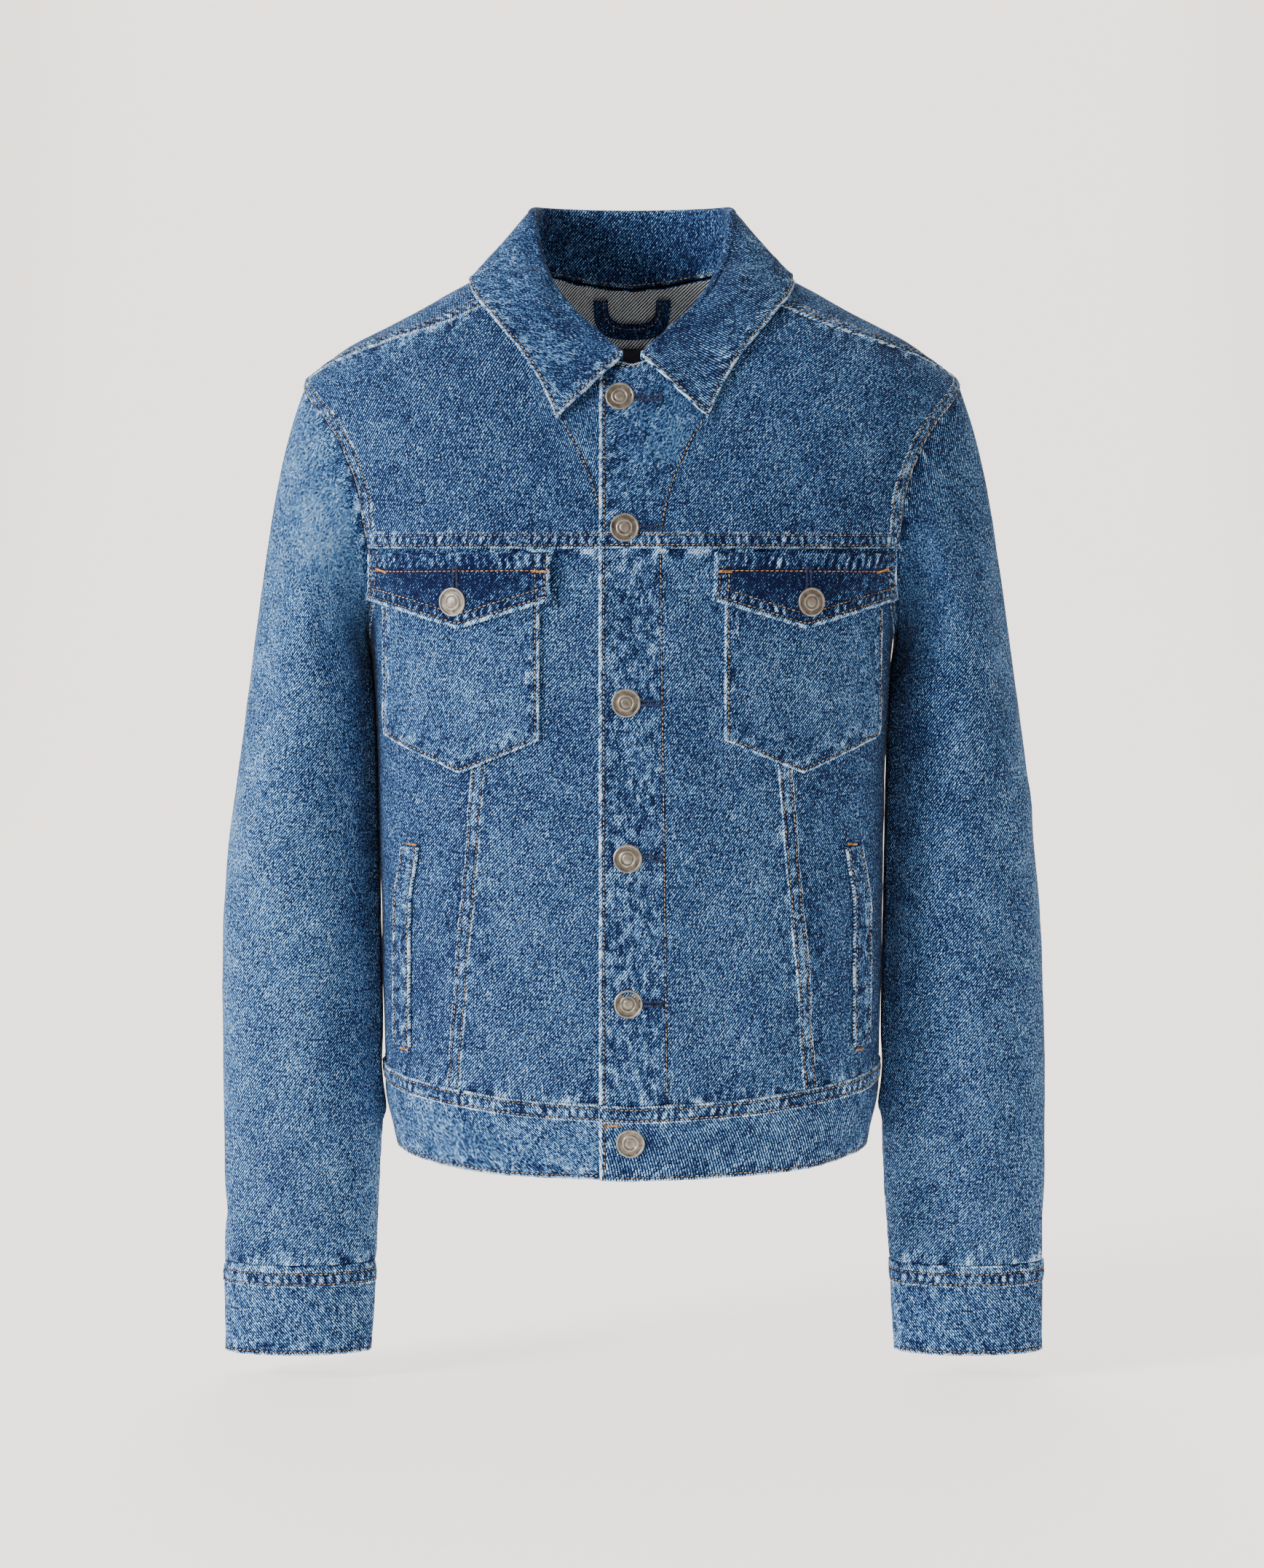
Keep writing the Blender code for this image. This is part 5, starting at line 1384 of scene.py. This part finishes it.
def twill_lines(made, spacing_mm, degrees, broken=4.0):
    """The diagonal of a twill, 0 to 1. Real lines stand 0.9 mm apart and are drawn wider so that they show."""
    angle = math.radians(degrees)
    reach = 2 * math.pi / (spacing_mm * MM)
    direction = (math.sin(angle) * reach, -math.cos(angle) * reach, 0)
    product = add(made, "ShaderNodeVectorMath", {"operation": "DOT_PRODUCT"}, {0: cloth_map(made), 1: direction})
    phase = product.outputs["Value"]
    phase = maths(made, "MULTIPLY_ADD", cloth_noise(made, 2.6, 7.0, turn=-0.7), broken, phase)
    return maths(made, "MULTIPLY_ADD", maths(made, "SINE", phase), 0.5, 0.5)


def value_of(made, name):
    return add(made, "ShaderNodeAttribute", {"attribute_name": name}).outputs["Fac"]


# From unwashed warp to bare yarn. Half of plain cloth lies between the fourth stop and the seventh.
DENIM_STOPS = (
    (0.06, "#020c30"), (0.19, "#0f2044"), (0.30, "#1c3056"), (0.385, "#284268"), (0.45, "#35517a"),
    (0.515, "#3f6292"), (0.60, "#4a80bf"), (0.71, "#62a8ee"), (0.85, "#92ccf8"), (1.0, "#dceef8"),
)


def washed_denim(name, tone, marble):
    """Stone-washed indigo denim, right-hand twill.

    Indigo sits on the warp's outside, so washing leaves a salt-and-pepper of dark and bare yarn, and rubbed
    folds, seam ridges and edges go nearly white.
    """
    made, shader = new_finish(name)
    twill = twill_lines(made, 1.4, 50, 1.1)
    yarn = cloth_noise(made, 1.0, 2.6, 1.0, 0.6, -0.75)
    pepper = cloth_noise(made, 1.3, 1.55, 2.0, 0.75)
    streak = cloth_noise(made, 1.5, 9.0, 1.0, 0.6, 0.12)
    cloud = cloth_noise(made, 30.0, 44.0, 3.0, 0.55)
    blotch = cloth_noise(made, 5.0, 11.0, 2.0, 0.6, 0.6)
    flame = cloth_noise(made, 4.4, 8.0, 3.0, 0.66, -0.4)
    near, pucker, rim = value_of(made, "near"), value_of(made, "pucker"), value_of(made, "rim")
    # Puckers have sharp worn crests and broad dark hollows.
    crest = maths(made, "POWER", maths(made, "MAXIMUM", pucker, 0.0), 1.4)
    hollow = maths(made, "MINIMUM", pucker, 0.0)
    # The fade attribute adds each piece's wash fade and its painted shade to worn.
    worn = weighted(made, (
        (twill, 0.7, 0.5), (yarn, 1.3, 0.5), (pepper, 2.2, 0.5), (streak, 0.6, 0.5), (cloud, 0.45, 0.5),
        (blotch, 0.35, 0.5),
        (maths(made, "MULTIPLY", maths(made, "SUBTRACT", flame, 0.5), near), marble, 0.0),
        (crest, 0.36, 0.0), (hollow, 0.26, 0.0), (value_of(made, "fade"), 1.0, 0.0), (rim, 0.45, 0.0),
    ))
    worn = maths(made, "ADD", worn, tone)
    colour = ramp(made, worn, DENIM_STOPS)
    height = weighted(made, ((twill, 0.7, 0.0), (yarn, 0.5, 0.0), (pepper, 0.6, 0.0), (rim, 0.5, 0.0)))
    feed(made, shader, {
        "Base Color": colour, "Normal": bumped(made, height, 0.25, 0.25), "Roughness": 0.88,
        "Specular IOR Level": 0.08, "Sheen Weight": 0.03, "Sheen Roughness": 0.6,
    })
    return made


def denim_reverse():
    """The weft side of denim: undyed yarn crossed by thin dark twill lines."""
    made, shader = new_finish("denim_reverse")
    twill = twill_lines(made, 1.9, 128, 1.0)
    bare = weighted(made, ((twill, 1.0, 0.5), (cloth_noise(made, 0.9, 3.0), 0.6, 0.5)))
    bare = maths(made, "ADD", bare, 0.5)
    colour = ramp(made, bare, ((0.12, "#030a1a"), (0.3, "#16243c"), (0.45, "#a9b8c8"), (0.7, "#f2f6f9")))
    feed(made, shader, {
        "Base Color": colour, "Normal": bumped(made, twill, 0.5, 0.3), "Roughness": 0.9,
        "Specular IOR Level": 0.2,
    })
    return made


def label_tape():
    """Bare woven tape, close and nearly black, with a faint rib."""
    made, shader = new_finish("woven_label_tape")
    rib = cloth_noise(made, 0.5, 6.0, 2.0)
    colour = ramp(made, rib, ((0.3, "#080a14"), (0.7, "#1b2034")))
    feed(made, shader, {"Base Color": colour, "Normal": bumped(made, rib, 0.4, 0.2), "Roughness": 0.8})
    return made


def cotton_thread(name, dark, light):
    """Twisted sewing thread: each strand catches light and then turns away, so its colour runs along it."""
    made, shader = new_finish(name)
    colour = ramp(made, object_noise(made, 520.0, 1.0), ((0.36, dark), (0.62, light)))
    feed(made, shader, {"Base Color": colour, "Roughness": 0.62, "Specular IOR Level": 0.35})
    return made


def antique_pewter():
    """Plated zinc, tumbled and darkened: grey-brown in the hollows, bare and satin on the ridges."""
    made, shader = new_finish("antique_pewter_plate")
    grime = object_noise(made, 260.0, 2.0)
    edge = add(made, "ShaderNodeNewGeometry").outputs["Pointiness"]
    ridge = add(made, "ShaderNodeMapRange", inputs={
        "Value": edge, "From Min": 0.42, "From Max": 0.6, "To Min": -0.3, "To Max": 0.3,
    }).outputs[0]
    worn = maths(made, "ADD", maths(made, "MULTIPLY_ADD", grime, 0.5, 0.25), ridge)
    colour = ramp(made, worn, ((0.2, "#27241f"), (0.45, "#827c73"), (0.78, "#cbc4b9")))
    rough = add(made, "ShaderNodeMapRange", inputs={"Value": worn, "To Min": 0.55, "To Max": 0.36}).outputs[0]
    feed(made, shader, {
        "Base Color": colour, "Roughness": rough, "Metallic": 1.0, "Normal": bumped(made, grime, 0.12, 0.05),
    })
    return made


# ---- assembly ----


BODY_DENIM = washed_denim("washed_denim", 0.268, 1.9)
COLLAR_DENIM = washed_denim("washed_denim_marbled", 0.258, 2.4)
REVERSE = denim_reverse()
TAPE = label_tape()
TAN = cotton_thread("tan_topstitch_thread", "#2c221b", "#ccb591")
ORANGE = cotton_thread("orange_bartack_thread", "#7a4a22", "#e0a35e")
NAVY = cotton_thread("navy_buttonhole_thread", "#040916", "#2a3a66")
PEWTER = antique_pewter()

cloths = {}
for side in "RL":
    for piece, made in {**front_panels(side), **sleeve_panels(side), **pocket_panels(side)}.items():
        cloths[f"{piece}_{side}"] = made
    cloths[f"cuff_{side}"] = cuff_panel(side)
    cloths[f"welt_{side}"] = welt_panel(side)
for piece, made in back_panels().items():
    cloths[f"back_{piece}"] = made
cloths["waist"] = waist_panel()
cloths["collar"] = collar_panel()
cloths.update(inner_panels())
threads = {key: {colour: Thread(colour) for colour in ("tan", "orange", "navy")} for key in cloths}

# ---- how washing left each piece, with painted shade on some: its whole tone, then places: across, up, reach across and up, amount ----
TONES = {
    # Painted shade among these tones: the front side panels, where the torso turns away, are darker, and the left
    # sleeve and cuff are painted darker than the right ones, as the side away from the key light.
    "yoke": -0.03, "centre": 0.01, "side": -0.05, "upper_R": 0.065, "upper_L": 0.03, "under": 0.02,
    "cuff_R": 0.07, "cuff_L": 0.03, "waist": 0.06, "collar": -0.02, "flap": -0.15, "pocket": 0.01, "welt": -0.03,
    "back_yoke": 0.0, "back_centre": 0.02, "back_R": 0.0, "back_L": 0.0, "label": 0.0, "loop": -0.2,
}
PLACES = (
    ("pocket", 112.0, -262.0, 34.0, 36.0, 0.1), ("pocket", 112.0, -225.0, 60.0, 16.0, -0.05),
    ("flap", 112.0, -199.0, 44.0, 11.0, -0.3), ("side", 150.0, -352.0, 30.0, 34.0, 0.03),
    ("centre", 62.0, -430.0, 30.0, 90.0, 0.05), ("centre", 45.0, -350.0, 14.0, 60.0, -0.03),
    ("yoke", 90.0, -165.0, 90.0, 26.0, -0.03), ("yoke", 120.0, -110.0, 50.0, 40.0, 0.03),
    ("upper_R", 236.0, -400.0, 60.0, 130.0, 0.04), ("upper_R", 222.0, -150.0, 30.0, 60.0, 0.03),
    # The last four places are painted shade: darker where the sleeves hang by the torso, on the sleeves' inner
    # sides, the front side panels and the waistband's sides.
    ("upper_L", 176.0, -220.0, 34.0, 150.0, -0.12), ("upper_R", 176.0, -330.0, 16.0, 200.0, -0.08),
    ("side", 172.0, -400.0, 12.0, 200.0, -0.1), ("waist", 170.0, -570.0, 20.0, 60.0, -0.08),
)
# How far each piece is marbled away from its seams too, from 0 to 1.
MARBLED = {"waist": 0.3, "cuff_R": 0.55, "cuff_L": 0.55, "flap": 0.7, "welt": 0.7, "collar": 0.45, "loop": 0.3}
for key, cloth in cloths.items():
    kind = key if key in TONES else key.rsplit("_", 1)[0]
    cloth["tone"] = TONES[kind]
    cloth["fade"] += TONES[kind]
    x, z = np.abs(cloth["grid"][..., 0]), cloth["grid"][..., 2]
    for owner, across, up, wide, high, amount in PLACES:
        if owner == kind:
            cloth["fade"] += amount * np.exp(-(((x - across) / wide) ** 2) - ((z - up) / high) ** 2)
    cloth["near"] = np.maximum(cloth["near"], MARBLED.get(kind, 0.0))
# The closing is creased and marbled from its edge to its second row, and painted darker round its buttonholes as
# the shadow of their slits.
for key, marbled in (("yoke_L", 0.6), ("centre_L", 0.9), ("yoke_R", 0.6)):
    x, z = cloths[key]["grid"][..., 0], cloths[key]["grid"][..., 2]
    cloths[key]["near"] = np.maximum(cloths[key]["near"], marbled * eased((23.0 - np.abs(x)) / 5.0))
# Painted shadow: a dark bar along each buttonhole.
for key in ("yoke_L", "centre_L", "waist"):
    x, z = cloths[key]["grid"][..., 0], cloths[key]["grid"][..., 2]
    for height in BUTTON_HEIGHTS:
        cloths[key]["fade"] -= 0.2 * np.exp(-(((x - 10.0) / 11.0) ** 4) - ((z - height) / 4.5) ** 2)
# The stand of the collar, inside the neck, is painted darker as shade, and is marbled less.
stand = eased((52.0 - cloths["collar"]["reach"]["first_row"]) / 14.0)
cloths["collar"]["fade"] -= 0.1 * stand
cloths["collar"]["near"] *= 1 - 0.6 * stand


TEETH_AT = 3.0, 7.8  # the worn part of a felled seam, from the seam's line
HOLE_START = 7.0  # from a button's middle to what its own plate leaves to see of its hole
PLACKET_HOLE, FLAP_HOLE = 19.0, 22.0  # from a button's middle to the far end of its hole
ARMHOLE_START = 288.0  # up a side panel's outer border, where its side seam ends
UNDER_POCKET = 142.0  # down from the chest's seam, as far as the pocket hides the slanted seam


def felled(key, border, start=0.0, end=0.0, teeth=TEETH_AT, rows=(2.2, 8.6), profile=FELL, slant=0.3):
    """A felled seam along a border, with its two rows."""
    band(cloths[key], border, profile, BODY_DENIM, start, end, teeth, slant)
    for distance in rows:
        sew(cloths[key], threads[key]["tan"], border, distance, start, end)


def armhole_seam(key, border="last_column", start=0.0):
    felled(key, border, start, teeth=None, rows=(2.3, 8.7), profile=ARMHOLE_FELL)


def strap_seam(key, border, end=0.0):
    felled(key, border, end=end, teeth=None, rows=(-3.2, 3.2), profile=STRAP)


def turned_edge(key, border, start=0.0, end=0.0, rows=(2.4,), profile=EDGE, teeth=None):
    """A folded edge with one row or two beside it."""
    outside = COLLAR_DENIM if key == "collar" else BODY_DENIM
    band(cloths[key], border, profile, outside, start, end, teeth)
    for distance in rows:
        sew(cloths[key], threads[key]["tan"], border, distance, start, end)


def tack_at(key, x, z, along, length, colour="orange"):
    """A bartack on a panel over a place given across and up."""
    place, normal = np.split(laid(cloths[key], x, z)[0][:6], 2)
    along = unit(along - normal * (along @ normal))
    threads[key][colour].tack(place, along, normal, length)


neck_start = length_of(shoulder_line("L", 60))
for side in "RL":
    sign = sign_of(side)
    yoke, centre, flank, back, flap, pocket = (
        f"{piece}_{side}" for piece in ("yoke", "centre", "side", "back", "flap", "pocket"))
    welt, cuff, upper = (f"{piece}_{side}" for piece in ("welt", "cuff", "upper"))
    felled(yoke, "first_row")
    armhole_seam(yoke)
    strap_seam(centre, "last_column", end=UNDER_POCKET)
    armhole_seam(flank, start=ARMHOLE_START)
    for border in ("first_column", "last_column", "last_row"):
        turned_edge(pocket, border)
        turned_edge(flap, border, rows=(3.3, 9.4), profile=FLAP_EDGE, teeth=(4.4, 8.2))
    # The flap's own line, with a bartack at both ends.
    band(cloths[flap], "first_row", FLAP_HEAD, BODY_DENIM, teeth=(2.0, 10.4))
    sew(cloths[flap], threads[flap]["orange"], "first_row", 12.0, 3.0, 3.0)
    for x in (FLAP["inner"] + 6.0, FLAP["outer"] - 6.0):
        tack_at(flap, sign * x, FLAP_TOP_Z - 12.0, (1, 0, 0), 11.5)
    button_x = sign * ((FLAP["inner"] + FLAP["outer"]) / 2 + FLAP_BUTTON[0])
    hole = laid(cloths[flap], button_x, FLAP_TOP_Z - FLAP_BUTTON[1] + HOLE_START)[0]
    buttonhole(threads[flap]["navy"], hole[:3], np.array([0, 0, 1.0]), hole[3:6], FLAP_HOLE - HOLE_START)
    for border in ("first_column", "last_column"):
        turned_edge(welt, border)
    for number in (0, 2):
        x = sign * (WELT[number, 0] + WELT_WIDTH / 2)
        tack_at(welt, x, WELT[number, 1] + (2 - number * 2), (1, 0, 0), 10.0)
    felled(cuff, "first_row", rows=(5.7, 13.0), profile=CUFF_BAND, teeth=(6.8, 12.0))
    turned_edge(cuff, "last_row")
    felled(upper, "first_column", start=12.0)
    armhole_seam(back, start=ARMHOLE_START)
    armhole_seam("back_yoke", "first_column" if side == "R" else "last_column")
    # The facing's edge is sewn down the front beside the closing, and bends out to the neck.
    up = np.linspace(-180.0, -94.0, 60)
    curve = laid(cloths[yoke], sign * (18.5 + 24.0 * ((up + 180.0) / 80.0) ** 2), up)
    bed(cloths[yoke], curve, BODY_DENIM)
    threads[yoke]["tan"].row(curve, 0.12)
up = np.linspace(-181.0, -538.0, 180)
curve = laid(cloths["centre_L"], 18.5 + 4.5 * (-181.0 - up) / 357.0, up)
bed(cloths["centre_L"], curve, BODY_DENIM)
threads["centre_L"]["tan"].row(curve, 0.12)
turned_edge("yoke_L", "first_column", rows=(3.0,), profile=CLOSING_EDGE)
turned_edge("centre_L", "first_column", rows=(3.0,), profile=CLOSING_EDGE)
turned_edge("yoke_L", "last_row", end=length_of(beside(cloths["yoke_L"], "last_row", 1.0)) - 40.0)
for height, shift, key in zip(BUTTON_HEIGHTS, BUTTON_SHIFTS, ("yoke_L",) * 2 + ("centre_L",) * 3 + ("waist",)):
    hole = laid(cloths[key], shift + HOLE_START, height)[0]
    buttonhole(threads[key]["navy"], hole[:3], np.array([1.0, 0, 0]), hole[3:6], PLACKET_HOLE - shift - HOLE_START)
felled("back_yoke", "first_row")
for border in ("first_column", "last_column"):
    strap_seam("back_centre", border)
whole = length_of(beside(cloths["back_yoke"], "last_row", 2.0))
felled("back_yoke", "last_row", end=whole - neck_start + 4.0, slant=1.0)
felled("back_yoke", "last_row", start=whole - neck_start + 4.0, slant=-1.0)
felled("waist", "last_row", rows=(2.4, 9.5), profile=WAIST_BAND, teeth=(3.8, 8.2))
turned_edge("waist", "first_row")
turned_edge("waist", "last_column", rows=(3.0,), profile=CLOSING_EDGE)
tack_at("waist", -13.0, -557.0, (1, 0, 0), 11.0)
for border in ("last_row", "first_column", "last_column"):
    turned_edge("collar", border)
sew(cloths["collar"], threads["collar"]["tan"], "first_row", 2.2)
sew(cloths["loop"], threads["loop"]["tan"], "last_row", 3.2)

for key, cloth in cloths.items():
    outside = TAPE if key == "label" else COLLAR_DENIM if key == "collar" else BODY_DENIM
    inside = outside if key in ("collar", "label", "loop") else REVERSE
    piece = sew_up(cloth, outside, inside)
    for colour, finish in (("tan", TAN), ("orange", ORANGE), ("navy", NAVY)):
        finish_thread(cloth, threads[key][colour], finish)
    width, length = cloth["flat"]

for node in [o.name for o in bpy.data.objects if o.name.startswith("button_")]:
    place_button(node, PEWTER)

# ---- the studio, in metres ----

PAPER_GLOW = 1.7
PAPER_SIZE = 8.0, 6.5  # half of its width and its depth
PAPER_MIDDLE = -3.0
FLOOR = -0.748
FAR_EDGE = 3.0  # only the paper's far edge lies beyond this
BEND, BEND_STEPS = 2.0, 12  # the radius of the paper's bend
WALL_RISE = 6.0
EYE, AIM = (0, -2.5937, -0.1586), (0, 0, -0.340)

world = bpy.context.scene.world or bpy.data.worlds.new("studio")
bpy.context.scene.world = world
world.use_nodes = True
feed(world, world.node_tree.nodes["Background"], {"Color": linear("#f2f1f0"), "Strength": 0.09})

# Seamless paper: matt, and lit so evenly that its floor runs into its wall with no line.
paper, paper_shader = new_finish("seamless_studio_paper")
# Low lamps behind the object lift the paper there. Its glow stands in for them, and ends before the front.
place = add(paper, "ShaderNodeTexCoord").outputs["Object"]
apart = add(paper, "ShaderNodeSeparateXYZ", inputs={"Vector": place}).outputs


def rising(value, start, end):
    return add(paper, "ShaderNodeMapRange", {"interpolation_type": "SMOOTHSTEP"}, {
        "Value": value, "From Min": start, "From Max": end, "To Min": 0.0, "To Max": 1.0,
    }).outputs[0]


behind = rising(apart["Y"], -0.95, -0.5)
between = rising(maths(paper, "ABSOLUTE", apart["X"]), 2.2, 1.0)
feed(paper, paper_shader, {
    "Base Color": linear("#eeeae6"), "Roughness": 0.95, "Emission Color": linear("#f0e9e2"),
    "Emission Strength": maths(paper, "MULTIPLY", maths(paper, "MULTIPLY", behind, between), PAPER_GLOW),
})
clear_selection()
bpy.ops.mesh.primitive_plane_add(size=2.0, location=(0, PAPER_MIDDLE, FLOOR))
paper_roll = bpy.context.object
paper_roll.name = "seamless_paper"
paper_roll.scale = (*PAPER_SIZE, 1.0)
bpy.ops.object.transform_apply(location=True, scale=True)
bpy.ops.object.mode_set(mode="EDIT")
bpy.ops.mesh.select_mode(type="EDGE")
bpy.ops.object.mode_set(mode="OBJECT")
for edge in paper_roll.data.edges:
    edge.select = all(paper_roll.data.vertices[i].co.y > FAR_EDGE for i in edge.vertices)
bpy.ops.object.mode_set(mode="EDIT")
# The far edge is rolled up into the wall in short steps.
for step in range(1, BEND_STEPS + 1):
    angle = math.radians(90 * (step - 0.5) / BEND_STEPS)
    length = BEND * math.radians(90 / BEND_STEPS)
    bpy.ops.mesh.extrude_region_move(TRANSFORM_OT_translate={
        "value": (0, length * math.cos(angle), length * math.sin(angle))})
bpy.ops.mesh.extrude_region_move(TRANSFORM_OT_translate={"value": (0, 0, WALL_RISE)})
bpy.ops.object.mode_set(mode="OBJECT")
paper_roll.data.shade_smooth()
paper_roll.data.materials.append(paper)


def softbox(name, place, aim, size, watts):
    lamp = bpy.data.lights.new(name, "AREA")
    lamp.shape = "RECTANGLE"
    lamp.size, lamp.size_y = size
    lamp.energy = watts
    obj = bpy.data.objects.new(name, lamp)
    obj.location = place
    obj.rotation_euler = (Vector(aim) - Vector(place)).to_track_quat("-Z", "Y").to_euler()
    bpy.context.scene.collection.objects.link(obj)
    return obj


lamps = [
    softbox("key_soft", (-3.4, -1.9, 1.2), (0, 0, -0.35), (1.3, 1.3), 250),
    softbox("top_soft", (0.0, 1.2, 3.4), (0, 1.6, -0.7), (3.0, 2.0), 30),
]

camera = bpy.data.cameras.new("camera")
camera.lens = 86.9
camera.sensor_width = 36
camera.sensor_fit = "VERTICAL"
camera.sensor_height = 36
eye = bpy.data.objects.new("camera", camera)
eye.location = EYE
eye.rotation_euler = (Vector(AIM) - eye.location).to_track_quat("-Z", "Y").to_euler()
bpy.context.scene.collection.objects.link(eye)
bpy.context.scene.camera = eye
